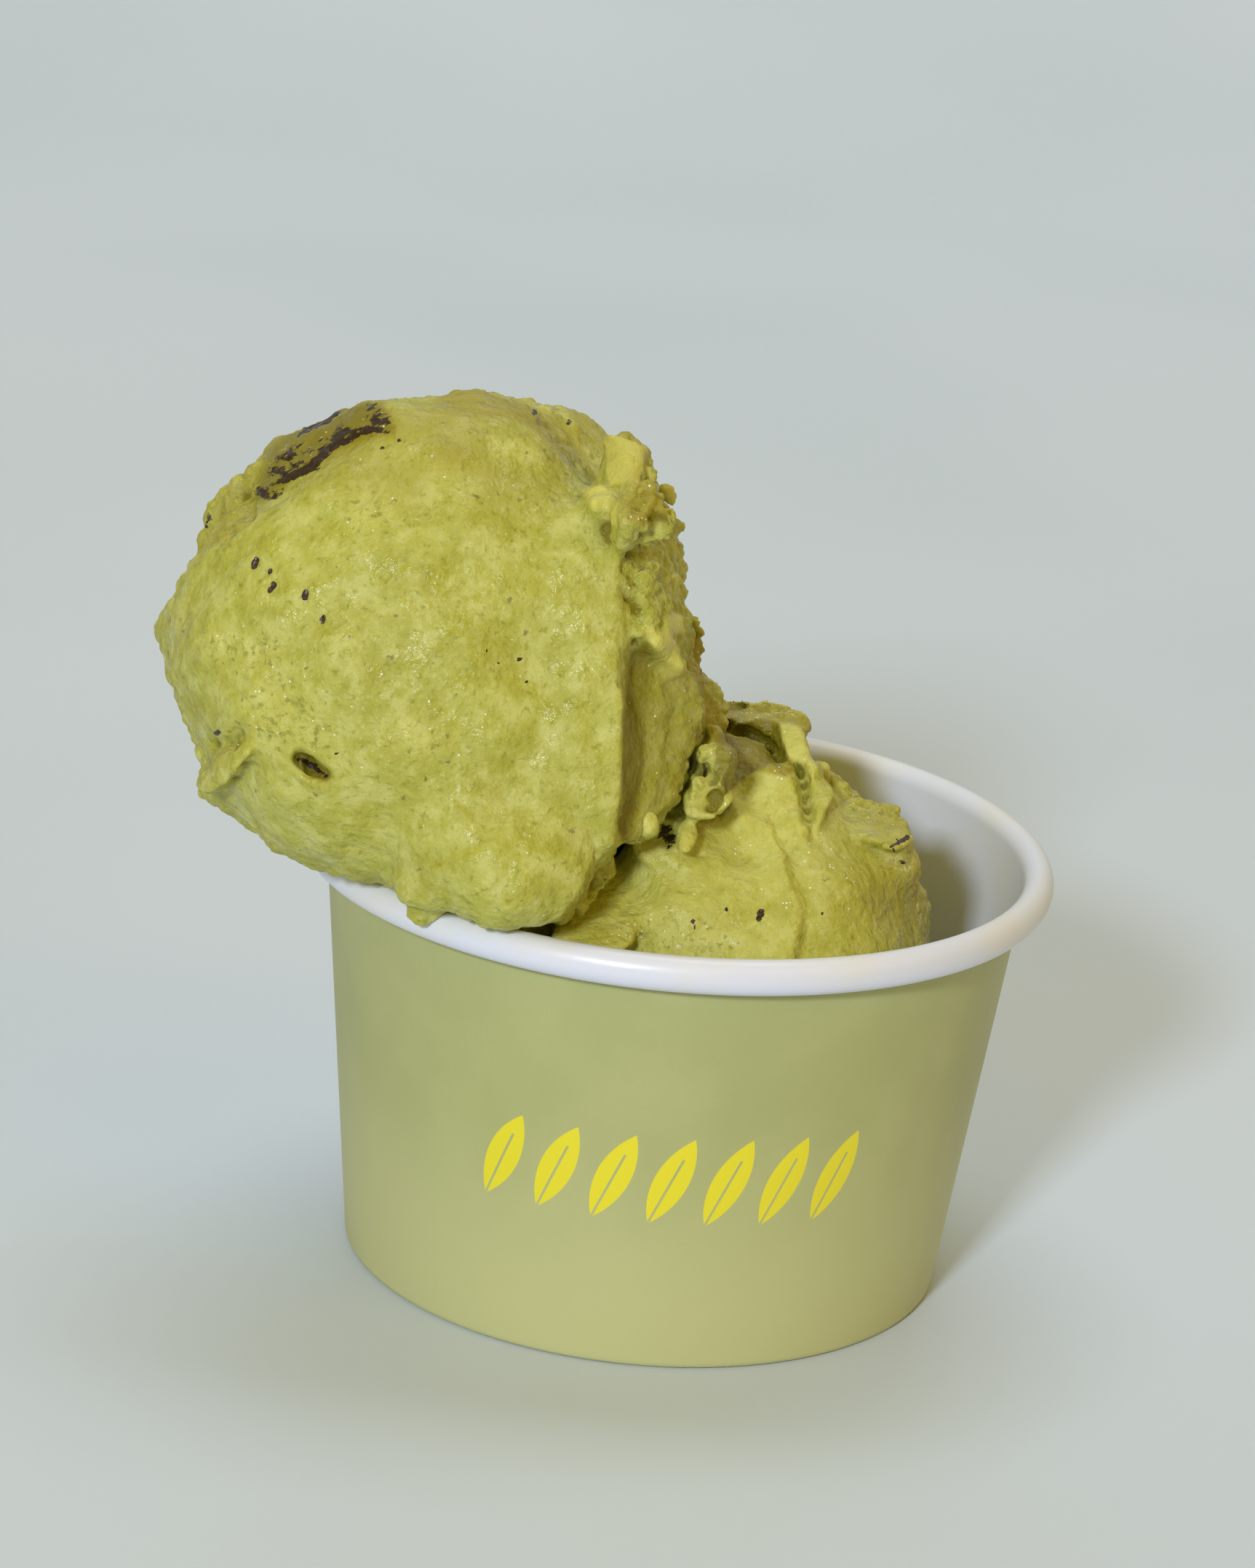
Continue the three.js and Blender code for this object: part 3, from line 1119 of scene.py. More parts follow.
@dataclass(frozen=True)
class BoardFinish:
    """Coated cup board: white, softly glossy, with the faint waviness of paper."""

    name: str = "white_board"
    white: RGB = (219, 225, 248)
    stain: RGB = (226, 218, 170)

    def material(self) -> Material:
        """Make the material."""
        board = Board(self.name)
        place = board.place()
        cloud = board.noise(place, 14.0, 3.0)
        fibre = board.noise(place, 0.35, 3.0, 0.6)
        clouds, fibres = cloud.eased(0.45, 0.75, 0.0, 0.25), fibre.eased(0.4, 0.7, 0.0, 0.06)
        tint = board.layered(self.white, (clouds, self.stain), (fibres, self.stain))
        wave = board.bump(board.noise(place, 4.0), 0.12, 0.25)
        relief = board.bump(fibre, 0.03, 0.4, wave)
        dull = cloud.eased(0.3, 0.7, 0.3, 0.4)
        return board.finish({"Base Color": tint, "Roughness": dull, "Normal": relief})


@dataclass(frozen=True)
class PrintFinish:
    """The printed outside: pale green in fine dots, fading paler to the foot, with a row of leaves."""

    name: str = "printed_board"
    ink: RGB = (168, 174, 118)
    pale: RGB = (193, 196, 144)
    leaf: RGB = (232, 222, 46)
    dot_pitch: float = 0.34
    leaves: int = 7
    leaf_pitch: float = 6.6
    leaf_width: float = 3.9
    leaf_height: float = 12.0
    leaf_tilt: float = 22.0
    band_height: float = 24.5
    band_swing: float = 4.5  # degrees round the cup from the front
    band_inset: float = 6.5  # of the wall under the rim, where the band is
    fade: Fade = (4.0, 34.0)  # heights of the ink

    def material(self) -> Material:
        """Make the material.

        Returns:
            The material.
        """
        board = Board(self.name)
        place = board.place()
        centred = board.vector("SUBTRACT", place, tuple(CUP.axis))
        parts = board.node("ShaderNodeSeparateXYZ", {}, {"Vector": centred}, "X")
        across, depth, up = (parts.twin(axis) for axis in "XYZ")
        swing = board.node("ShaderNodeMath", {"operation": "ARCTAN2"}, {0: across, 1: depth * -1.0})
        height = up / MM
        arc = (swing - math.radians(self.band_swing)) * (CUP.rim_radius - self.band_inset)

        tint = board.layered(
            self.pale,
            (height.eased(*self.fade), self.ink),
            (board.noise(place, 11.0, 3.0).eased(0.35, 0.75, 0.0, 0.3), self.pale),
            (self.dots(board, arc, height) * 0.24, self.pale),
            (self.leaf_mask(board, arc, height), self.leaf),
        )

        fibre = board.noise(place, 0.3, 3.0, 0.6)
        wave = board.bump(board.noise(place, 6.0), 0.15, 0.3)
        return board.finish(
            {
                "Base Color": tint,
                "Roughness": fibre.eased(0.3, 0.7, 0.42, 0.52),
                "Normal": board.bump(fibre, 0.02, 0.4, wave),
                "Specular IOR Level": 0.4,
            }
        )

    def dots(self, board: Board, arc: Wire, height: Wire) -> Wire:
        """The print's dot screen, turned 45 degrees.

        Args:
            board: The material's tree.
            arc: Distance round the cup in millimetres.
            height: Height in millimetres.

        Returns:
            1 on the dots, 0 between them.
        """
        turn = 2 * math.pi / self.dot_pitch * math.sqrt(0.5)
        first = board.node("ShaderNodeMath", {"operation": "SINE"}, {0: (arc + height) * turn})
        second = board.node("ShaderNodeMath", {"operation": "SINE"}, {0: (arc - height) * turn})
        return (first * second).eased(-0.3, 0.5)

    def leaf_mask(self, board: Board, arc: Wire, height: Wire) -> Wire:
        """The row of leaves, each a pointed oval with a rib, all leaning the same way.

        Args:
            board: The material's tree.
            arc: Distance round the cup from the row's middle, in millimetres.
            height: Height in millimetres.

        Returns:
            1 on the leaves, 0 elsewhere.
        """
        half = (self.leaves - 1) / 2
        place = board.node("ShaderNodeMath", {"operation": "ROUND"}, {0: arc / self.leaf_pitch})
        x = arc - place.most(-half).least(half) * self.leaf_pitch
        y = height - self.band_height
        sine, cosine = math.sin(math.radians(self.leaf_tilt)), math.cos(math.radians(self.leaf_tilt))
        along = y * cosine + x * sine
        across = x * cosine - y * sine
        width, tall = self.leaf_width / 2, self.leaf_height / 2
        radius = (tall**2 + width**2) / (2 * width)
        reach = ((abs(across) + (radius - width)) ** 2.0 + along**2.0) ** 0.5
        rib = abs(across).eased(0.1, 0.2).most((along - 0.5 * tall).eased(0.0, 0.3))
        return (reach * -1.0 + radius).eased(-0.06, 0.06) * rib


@dataclass(frozen=True)
class StageFinish:
    """The pale, faintly uneven floor."""

    name: str = "pale_floor"
    light: RGB = (210, 222, 243)
    dark: RGB = (204, 217, 238)

    def material(self) -> Material:
        """Make the material."""
        board = Board(self.name)
        place = board.place()
        tint = board.layered(self.light, (board.noise(place, 260.0).eased(0.35, 0.65), self.dark))
        grain = board.noise(place, 1.2, 3.0)
        return board.finish({"Base Color": tint, "Roughness": 0.6, "Normal": board.bump(grain, 0.05, 0.2)})


# ------------------------------------------------------------------ the cup


@dataclass
class PaperCup:
    """The cup: a wall of board, curled over at the rim and folded in at the foot, and its bottom."""

    board: float = 0.4
    foot_radius: float = 36.0
    roll_width: float = 3.7
    roll_height: float = 4.3
    fold_height: float = 6.2
    fold_pitch: float = 1.5
    fold_rise: float = 0.75
    bottom_top: float = 7.0
    gap: float = 0.35
    sides: int = 192
    wall_board: float = 0.28  # thickness of the wall as drawn
    roll_tuck: float = 0.42  # share by which the rolled end is drawn in
    fold_corner: float = 0.45  # radius of the fold's two corners
    crease: float = 40.0  # degrees from which an edge stays sharp

    def wall_radius(self, height: float) -> float:
        """Radius of the wall's centre line at a height."""
        top_radius = CUP.rim_radius - self.roll_width + self.board / 2
        top_height = CUP.height - self.roll_height / 2
        foot = self.foot_radius - self.board / 2
        rise = self.fold_rise + self.board / 2
        return foot + (top_radius - foot) * (height - rise) / (top_height - rise)

    def wall_line(self) -> list[tuple[float, float]]:
        """The wall's centre line, from inside the foot, up the wall and round the roll.

        Returns:
            Radius and height at each station.
        """
        foot = self.foot_radius - self.board / 2
        rise = self.fold_rise + self.board / 2
        inner = foot - self.fold_pitch
        line = [(self.wall_radius(self.fold_height) - self.fold_pitch, self.fold_height), (inner, rise)]
        corner = self.fold_corner
        for middle, start in ((inner + corner, 180.0), (foot - corner, 270.0)):
            for step in (30.0, 60.0, 90.0) if start == 180.0 else (0.0, 30.0, 60.0):
                angle = math.radians(start + step)
                line.append((middle + corner * math.cos(angle), rise + self.fold_rise * math.sin(angle)))
        line.append((foot, rise))
        heights = np.linspace(rise, CUP.height - self.roll_height / 2, 24)[1:-1]
        line += [(self.wall_radius(height), height) for height in heights]
        half_width = (self.roll_width - self.board) / 2
        half_height = (self.roll_height - self.board) / 2
        centre_radius = CUP.rim_radius - self.roll_width / 2
        centre_height = CUP.height - self.roll_height / 2
        for turn in range(0, 351, 10):
            tuck = 1 - self.roll_tuck * max(0.0, (turn - 270) / 80)
            angle = math.pi - math.radians(turn)
            radius = centre_radius + tuck * half_width * math.cos(angle)
            line.append((radius, centre_height + tuck * half_height * math.sin(angle)))
        return line

    def turned_sheet(self, name: str, line: Sequence[tuple[float, float]], fill: str) -> Piece:
        """A sheet drawn up from a ring, station by station.

        Args:
            name: The piece's name.
            line: Radius and height of each station.
            fill: How the first ring is filled.

        Returns:
            The sheet, without thickness.
        """
        radius, height = line[0]
        bpy.ops.object.select_all(action="DESELECT")
        bpy.ops.mesh.primitive_circle_add(
            vertices=self.sides, radius=radius * MM, fill_type=fill, location=CUP.at(0, 0, height)
        )
        piece = settle(bpy.context.object)
        piece.name = piece.data.name = name
        bpy.ops.object.mode_set(mode="EDIT")
        bpy.ops.mesh.select_all(action="SELECT")
        for (r0, z0), (r1, z1) in zip(line[:-1], line[1:]):
            bpy.ops.mesh.extrude_edges_move(TRANSFORM_OT_translate={"value": (0, 0, (z1 - z0) * MM)})
            bpy.ops.transform.resize(value=(r1 / r0, r1 / r0, 1.0), center_override=CUP.at(0, 0, z1))
        bpy.ops.mesh.select_all(action="SELECT")
        bpy.ops.mesh.normals_make_consistent(inside=False)
        bpy.ops.object.mode_set(mode="OBJECT")
        return piece

    def build_wall(self, outside: Material, inside: Material) -> Piece:
        """The wall, printed on one face of its board and white on the other.

        Args:
            outside: The printed face's material.
            inside: The white face's material.

        Returns:
            The wall.
        """
        piece = self.turned_sheet("cup_wall_board", self.wall_line(), "NOTHING")
        self.face_sheet_in(piece)
        piece.data.materials.append(inside)
        piece.data.materials.append(outside)
        self.thicken(piece, self.wall_board, material_offset=1, material_offset_rim=0)
        return smooth(piece, self.crease)

    def thicken(self, piece: Piece, thickness: float, **settings: int) -> None:
        """Give a sheet its thickness, half to each side."""
        modify(piece, "SOLIDIFY", thickness=thickness * MM, offset=0.0, use_even_offset=True, **settings)

    def face_sheet_in(self, piece: Piece) -> None:
        """Turn a sheet's faces so that those half way up the wall point at the axis."""
        face = next(face for face in piece.data.polygons if 20 * MM < face.center.z < 30 * MM)
        if (face.center - CUP.axis).to_2d().dot(face.normal.to_2d()) > 0:
            only(piece)
            bpy.ops.object.mode_set(mode="EDIT")
            bpy.ops.mesh.select_all(action="SELECT")
            bpy.ops.mesh.flip_normals()
            bpy.ops.object.mode_set(mode="OBJECT")

    def build_bottom(self, material: Material) -> Piece:
        """The bottom disc with its skirt, which hangs in the fold of the foot.

        Args:
            material: Its finish.

        Returns:
            The bottom.
        """
        middle = self.bottom_top - self.board / 2
        skirt_end = self.fold_rise + self.board / 2 + self.gap

        def skirt_radius(height: float) -> float:
            """Radius of the skirt's centre line at a height."""
            return self.wall_radius(height) - self.fold_pitch / 2

        edge = skirt_radius(middle)
        bend = 0.5
        line = [(edge - bend, middle), (edge - 0.3 * bend, middle - 0.16 * bend), (edge, middle - 0.7 * bend)]
        line += [(skirt_radius(height), height) for height in (5.0, 3.5, 2.2, skirt_end + self.board / 2)]
        piece = self.turned_sheet("cup_bottom_board", line, "NGON")
        self.close_disc(piece, edge - bend)
        piece.data.materials.append(material)
        self.thicken(piece, self.board)
        return smooth(piece, self.crease)

    def close_disc(self, piece: Piece, radius: float) -> None:
        """Divide the disc's single face into rings, so that it can carry its form."""
        only(piece)
        bpy.context.tool_settings.mesh_select_mode = (False, False, True)
        for face in piece.data.polygons:
            face.select = len(face.vertices) > 4
        bpy.ops.object.mode_set(mode="EDIT")
        for _ in range(4):
            bpy.ops.mesh.inset(thickness=radius / 5 * MM, depth=0.0)
        bpy.ops.mesh.poke()
        bpy.ops.object.mode_set(mode="OBJECT")


# ------------------------------------------------------------------ the scoops


@dataclass
class Scoop:
    """A scoop of gelato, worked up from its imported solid."""

    node: str
    name: str
    coarse: float = 0.5  # voxel of the form
    fine: float = 0.4  # voxel of the finished surface
    seed: int = 7
    hidden_below: float = 32.0  # height under which the mesh is thinned out most
    triangles: int = 190000  # how many stay
    evened: Balls = ()

    def dabs(self) -> list[Dab]:
        """Curls, nubs and crumbs that stand on the form."""
        return []

    def marks(self) -> list[Mark]:
        """The marks that shape the surface."""
        return []

    def press(self, clay: Clay) -> None:
        """Press the form itself, before anything is put on it."""

    def masks(self, clay: Clay) -> dict[str, Array]:
        """How rough, nutty and porous each point is, and how much frost, paleness, ochre, painted shade and
        painted glint it takes; paleness is partly painted light, ochre partly painted shade, and frost partly
        painted glint.
        """
        return {}

    def build(self, material: Material) -> Piece:
        """Work the scoop up.

        Args:
            material: Its finish.

        Returns:
            The scoop.
        """
        core = copy_of_node(self.node, self.name)
        modify(core, "REMESH", mode="VOXEL", voxel_size=1.4 * self.coarse * MM, adaptivity=0.0)
        modify(core, "SMOOTH", factor=0.6, iterations=40)
        self.even_out(core)
        self.press(Clay(core))
        modify(core, "REMESH", mode="VOXEL", voxel_size=self.coarse * MM, adaptivity=0.0)
        modify(core, "SMOOTH", factor=0.5, iterations=2)
        dabs = [dab.build(core, self.seed + i) for i, dab in enumerate(self.dabs())]
        piece = joined(self.name, [core, *dabs])
        modify(piece, "REMESH", mode="VOXEL", voxel_size=self.coarse * MM, adaptivity=0.0)
        modify(piece, "SMOOTH", factor=0.5, iterations=1)
        clay = Clay(piece)
        clay.mark(self.marks())
        modify(piece, "REMESH", mode="VOXEL", voxel_size=self.fine * MM, adaptivity=0.0)
        modify(piece, "SMOOTH", factor=0.5, iterations=2)
        clay.read()
        self.relieve(clay)
        self.thin_out(clay)
        clay.read()
        masks = self.masks(clay)
        # painted shade: the deeper a point lies in a hollow, the darker it is laid
        masks["hollow"] = np.maximum(ease(clay.hollowness(10), 0.05, 0.45), masks.get("hollow", 0.0))
        for key in MASKS:
            clay.keep(key, masks.get(key, np.zeros(len(clay.places))))
        piece.data.materials.clear()
        piece.data.materials.append(material)
        return smooth(piece)

    def even_out(self, core: Piece) -> None:
        """Smooth the form away where dabs and marks take its place."""
        clay = Clay(core)
        weight = np.zeros(len(clay.places))
        for centre, radius in self.evened:
            distance = np.linalg.norm(clay.places - np.array(centre), axis=1)
            weight = np.maximum(weight, ease(distance, radius, 0.6 * radius))
        group = core.vertex_groups.new(name="even")
        for i in np.flatnonzero(weight > 0.01):
            group.add([int(i)], float(weight[i]), "REPLACE")
        modify(core, "SMOOTH", factor=0.9, iterations=160, vertex_group="even")
        core.vertex_groups.clear()

    def relieve(self, clay: Clay) -> None:
        """Give the surface its grain: slow unevenness, small lumps, and crumbs where it is rough."""
        masks = self.masks(clay)
        rough = masks["rough"]
        free = self.clearance(clay)
        uneven = 1 - 0.75 * masks["pale"]
        slow = noise(clay.places, 9.0, self.seed, 2) * 0.3
        mid = noise(clay.places, 3.0, self.seed + 10, 2) * 0.2
        mid = mid + noise(clay.places, 0.9, self.seed + 13) * 0.05
        patchy = ease(noise(clay.places, 5.0, self.seed + 11), 0.0, 0.5)
        fine = pebbles(clay.places, 1.4, self.seed + 12) * 0.13 * patchy
        torn = np.zeros(len(rough))
        part = rough > 0.03
        bed = clay.places[part]
        torn[part] = noise(bed, 3.2, self.seed + 40, 2) * 0.5 + noise(bed, 1.2, self.seed + 41) * 0.25 - 0.6
        torn[part] += pebbles(bed, 1.9, self.seed + 20) * 0.5 + pebbles(bed, 1.1, self.seed + 30) * 0.5
        clay.swell((slow + (mid + fine * (1 - rough) + rough * torn) * uneven) * free)
        clay.write()
        pit, lot = grains(clay.places, 2.8, self.seed + 50)
        clay.swell(-0.35 * ease(pit, 0.2, 0.08) * (lot > 0.75) * (1 - 0.5 * rough) * uneven)
        clay.write()

    def clearance(self, clay: Clay) -> Array:
        """0 where clay touches the cup, 1 from a millimetre and a half away."""
        out = np.hypot(clay.places[:, 0], clay.places[:, 1])
        seen = np.stack([out, clay.places[:, 2]], 1)
        wall = PaperCup().wall_line()[9:]  # without the stations of the fold in the foot
        distance, _ = path_distance(seen, wall)
        return ease(distance, 0.4, 1.8) * ease(clay.places[:, 2], 8.0, 12.0)

    def thin_out(self, clay: Clay) -> None:
        """Thin the mesh out, most of all where the cup hides it."""
        group = clay.piece.vertex_groups.new(name="hidden")
        hidden = clay.places[:, 2] < self.hidden_below
        behind = ~hidden & (clay.facing() < -0.15)
        for chosen, weight in ((hidden, 1.0), (behind, 0.5), (~hidden & ~behind, 0.03)):
            group.add([int(i) for i in np.flatnonzero(chosen)], weight, "REPLACE")
        count = 2 * len(clay.piece.data.polygons)
        LOG.info("%s: %d triangles before thinning", self.name, count)
        if count > self.triangles:
            ratio = self.triangles / count
            modify(clay.piece, "DECIMATE", ratio=ratio, vertex_group="hidden", vertex_group_factor=1.0)
        clay.piece.vertex_groups.clear()


@dataclass
class LargeScoop(Scoop):
    """The large scoop: a smooth front, a torn right side under a curl, and a tongue at the left."""

    node: str = "gelato_large"
    name: str = "scoop_large"
    evened: Balls = (
        ((-12.6, -28.0, 99.0), 7.0),
        ((-12.5, -39.0, 57.5), 8.5),
    )

    edge: Path = (
        (-13.2, 104.5), (-12.3, 99.8), (-11.4, 97.4), (-10.4, 94.4), (-9.8, 89.7), (-9.6, 85.6),
        (-8.8, 83.4), (-7.8, 79.5), (-7.1, 75.6), (-7.1, 72.5), (-7.5, 70.2), (-7.3, 67.1), (-6.7, 63.0),
        (-6.7, 59.3), (-7.1, 56.9), (-6.9, 54.6), (-8.0, 52.6), (-9.2, 51.4), (-9.9, 49.6), (-10.2, 47.9),
        (-11.3, 46.4), (-12.3, 44.9), (-12.1, 43.1), (-11.5, 42.0),
    )
    curl: Path = (
        (-12.9, 102.9), (-12.1, 103.7), (-10.6, 103.4), (-8.8, 102.9), (-7.7, 102.1), (-7.7, 100.7),
        (-7.8, 99.4), (-8.1, 98.3), (-8.5, 97.4), (-9.5, 98.2), (-10.3, 97.5), (-11.4, 97.6), (-12.0, 98.6),
        (-12.3, 100.7),
    )
    blob: Path = (
        (-14.3, 96.4), (-13.6, 97.1), (-12.6, 97.5), (-11.5, 96.9), (-10.8, 95.7), (-10.0, 94.0),
        (-10.3, 92.9), (-11.4, 92.8), (-12.5, 93.6), (-13.9, 95.2),
    )
    crest: Path = (
        (-25.0, 106.0), (-23.0, 106.2), (-20.7, 105.6), (-17.7, 104.8), (-15.4, 104.2), (-15.4, 102.0),
        (-20.0, 103.0), (-24.0, 104.4),
    )
    nub: Path = (
        (-6.3, 98.0), (-5.2, 98.3), (-4.1, 97.9), (-3.8, 96.2), (-4.1, 95.3), (-5.0, 96.0), (-5.7, 97.3),
    )
    pale_lump: Path = (
        (-6.1, 80.9), (-5.1, 81.5), (-4.4, 80.4), (-3.2, 80.8), (-2.2, 79.6), (-1.7, 77.9), (-0.9, 76.8),
        (-1.0, 75.7), (-2.2, 74.9), (-3.3, 75.0), (-4.3, 76.9), (-5.5, 78.6),
    )
    pale_crumb: Path = ((-3.3, 83.2), (-1.8, 82.8), (-1.4, 80.8), (-2.4, 80.5), (-3.4, 81.6))
    lip_bump: Path = ((-8.6, 55.2), (-7.6, 55.6), (-6.6, 54.6), (-7.0, 53.4), (-8.3, 53.7))
    lip_nub: Path = ((-8.7, 51.3), (-8.0, 50.2), (-8.0, 48.8), (-9.0, 48.3), (-9.8, 49.2), (-9.5, 50.4))
    edge_nubs: Spots = (
        (-7.5, 76.4, 0.8), (-7.2, 73.4, 0.6), (-7.6, 70.9, 0.8), (-7.3, 68.2, 0.6), (-7.0, 64.9, 0.9),
        (-6.8, 61.6, 0.7), (-6.9, 59.2, 0.6), (-7.4, 50.2, 0.7),
    )
    side_crumbs: Spots = (
        (-8.8, 86.8, 0.9), (-7.2, 87.9, 1.0), (-7.4, 94.1, 1.1), (-5.0, 92.1, 0.9), (-5.6, 88.8, 0.8),
        (-4.1, 84.2, 0.9), (-0.5, 80.8, 0.8), (-3.8, 78.3, 0.7), (-8.2, 83.4, 0.8), (-6.3, 84.6, 1.1),
        (-7.7, 90.6, 0.8), (-5.9, 82.6, 0.7), (-6.6, 80.4, 0.7), (-3.4, 87.4, 0.8),
    )
    rim_crumbs: Spots = (
        (-4.2, 95.0, 0.5), (-3.4, 93.4, 0.6), (-2.7, 91.2, 0.5), (-2.4, 89.4, 0.5), (-1.9, 87.6, 0.6),
        (-1.3, 85.5, 0.6), (-1.2, 83.6, 0.5), (0.2, 82.2, 0.7), (0.9, 80.6, 0.7), (0.8, 79.0, 0.5),
        (0.5, 77.0, 0.6), (1.2, 74.8, 0.7),
    )
    flap: Path = (
        (-52.6, 95.8), (-53.7, 95.1), (-54.0, 94.0), (-54.9, 93.1), (-55.6, 92.8), (-56.4, 91.4),
        (-57.4, 90.6), (-57.9, 89.5), (-57.6, 88.5), (-58.0, 87.0), (-58.4, 85.6), (-57.4, 85.0),
        (-54.4, 86.6), (-51.0, 91.0), (-49.8, 95.0), (-50.8, 97.0),
    )
    flap_fold: Path = (
        (-59.4, 82.7), (-58.3, 84.4), (-57.1, 85.5), (-55.7, 86.8), (-54.8, 87.7), (-52.5, 88.6),
        (-52.0, 90.3),
    )
    tongue: Path = (
        (-50.0, 62.0), (-50.4, 60.7), (-51.3, 59.6), (-52.5, 57.9), (-53.9, 56.1), (-55.1, 55.4),
        (-56.3, 55.6), (-56.8, 57.2), (-56.6, 58.1), (-55.1, 59.4), (-53.2, 61.2), (-51.5, 62.7),
    )
    rim_nub: Path = (
        (-30.7, 45.6), (-30.5, 44.4), (-31.2, 43.7), (-30.6, 42.8), (-28.7, 41.4), (-27.8, 42.3),
        (-26.6, 43.2), (-27.6, 45.8),
    )
    plate: Path = (
        (-7.6, 78.0), (-5.6, 79.6), (-4.2, 78.4), (-2.8, 77.0), (-0.8, 76.4), (1.1, 74.0), (1.3, 70.0),
        (0.9, 66.2), (0.5, 64.0), (-0.2, 60.6), (-1.0, 59.6), (-2.3, 58.4), (-4.4, 54.8), (-6.2, 54.3),
        (-7.3, 56.8), (-7.0, 60.0), (-7.6, 67.0), (-7.6, 72.0),
    )
    scratches: Sequence[tuple[Path, float]] = (  # path, height
        (((-5.6, 76.0), (-5.5, 68.0), (-5.6, 60.0), (-6.0, 56.0)), 0.15),
        (((-4.6, 75.5), (-4.2, 68.0), (-4.3, 61.0), (-5.2, 56.5)), -0.2),
        (((-3.4, 75.0), (-2.9, 68.0), (-3.1, 61.5), (-4.4, 56.5)), 0.15),
        (((-2.2, 75.0), (-1.4, 68.0), (-1.8, 62.0), (-3.4, 57.5)), -0.2),
        (((-1.0, 74.5), (-0.2, 68.0), (-0.6, 62.5), (-2.2, 58.8)), 0.15),
    )
    # painted shade: patches under the curl and down the torn side, laid darker ochre
    painted_shade_patches: Sequence[Path] = (
        ((-9.4, 93.7), (-10.1, 95.9), (-8.2, 97.2), (-7.5, 98.8), (-6.1, 97.8), (-5.3, 96.8), (-3.6, 95.1),
            (-3.6, 92.4), (-5.5, 93.6), (-7.6, 92.9)),
        ((-0.5, 82.0), (1.4, 81.0), (2.0, 74.2), (3.4, 71.8), (4.8, 69.2), (4.0, 66.5), (1.2, 66.5),
            (1.5, 70.0), (1.2, 74.0), (-0.6, 76.0)),
    )
    bank: Path = (
        (-10.8, 92.6), (-10.5, 95.9), (-8.4, 97.2), (-7.6, 98.6), (-6.1, 97.6), (-5.3, 96.4), (-3.9, 94.8),
        (-3.6, 92.0), (-5.5, 91.6), (-8.0, 90.4), (-10.4, 90.6),
    )
    dome: Path = ((-50.0, 98.5), (-47.0, 101.5), (-43.0, 103.3), (-40.5, 104.0))
    slot: Path = ((-44.8, 61.0), (-43.6, 60.8), (-42.6, 60.0), (-41.5, 59.4))
    streaks: Lines = (
        (((-52.0, 92.6), (-50.9, 92.5), (-49.3, 93.4), (-48.1, 94.3), (-46.2, 95.7), (-45.1, 96.9),
            (-43.7, 98.5), (-42.1, 99.4), (-41.1, 99.9)), 1.1, 0.75),
        (((-39.7, 100.9), (-38.5, 101.1), (-37.2, 101.1)), 0.6, 0.9),
        (((-38.6, 102.3), (-37.0, 102.2)), 0.4, 0.8),
        (((-51.5, 95.6), (-51.9, 94.2), (-52.2, 92.9)), 0.4, 0.75),
        (((-51.4, 92.7), (-50.4, 91.6), (-49.6, 92.2)), 0.5, 0.8),
        (((-50.4, 94.2), (-47.5, 96.6), (-44.6, 98.8), (-41.6, 100.8)), 1.6, 0.52),
        (((-50.0, 97.0), (-46.8, 99.8), (-42.4, 102.2), (-37.5, 103.2)), 2.2, 0.42),
    )
    streak_zone: Path = (
        (-51.9, 90.6), (-52.0, 92.6), (-51.6, 95.5), (-51.0, 98.0), (-49.6, 99.6), (-48.0, 101.0),
        (-46.4, 102.2), (-44.0, 103.4), (-41.0, 104.4), (-38.0, 104.6), (-37.0, 103.0), (-36.4, 102.0),
        (-36.3, 101.0), (-38.5, 100.5), (-41.1, 99.3), (-43.0, 98.0), (-44.8, 96.3), (-46.7, 94.9),
        (-48.5, 93.2), (-49.2, 92.3), (-51.3, 91.1),
    )
    specks: Spots = (
        (-57.0, 89.2, 0.55), (-57.2, 87.9, 0.45), (-59.4, 82.7, 0.4), (-60.7, 80.5, 0.5),
        (-35.9, 100.3, 0.25), (-37.7, 99.2, 0.3), (-22.4, 74.9, 0.25), (-20.2, 75.7, 0.3),
        (-19.1, 73.1, 0.35), (-24.0, 76.3, 0.25), (-44.6, 61.9, 0.3), (-40.4, 62.2, 0.35),
        (-54.4, 63.4, 0.35), (-16.8, 104.3, 0.45), (-20.8, 105.0, 0.4),
    )
    porous: Sequence[tuple[Path, float]] = (  # outline, share of pores
        (((-52.3, 67.0), (-50.2, 69.9), (-45.8, 70.6), (-40.6, 66.4), (-40.3, 62.8), (-42.2, 61.8),
            (-45.3, 62.0), (-47.7, 61.8), (-49.8, 62.9), (-51.9, 65.3)), 0.55),
        (((-57.6, 73.1), (-56.6, 75.6), (-49.8, 76.0), (-47.2, 75.2), (-48.0, 72.0), (-52.3, 70.6),
            (-55.6, 71.0)), 0.5),
        (((-41.6, 92.6), (-39.3, 94.9), (-35.6, 94.2), (-35.8, 90.7), (-39.9, 89.0), (-41.4, 90.1)), 0.45),
        (((-32.7, 98.9), (-29.4, 98.9), (-29.4, 96.4), (-32.4, 96.2)), 0.4),
        (((-38.8, 51.8), (-34.6, 51.8), (-34.6, 49.8), (-38.8, 49.6)), 0.45),
        (((-36.8, 65.7), (-33.2, 67.1), (-26.9, 66.2), (-26.6, 63.1), (-31.6, 62.6), (-35.9, 63.5)), 0.4),
    )
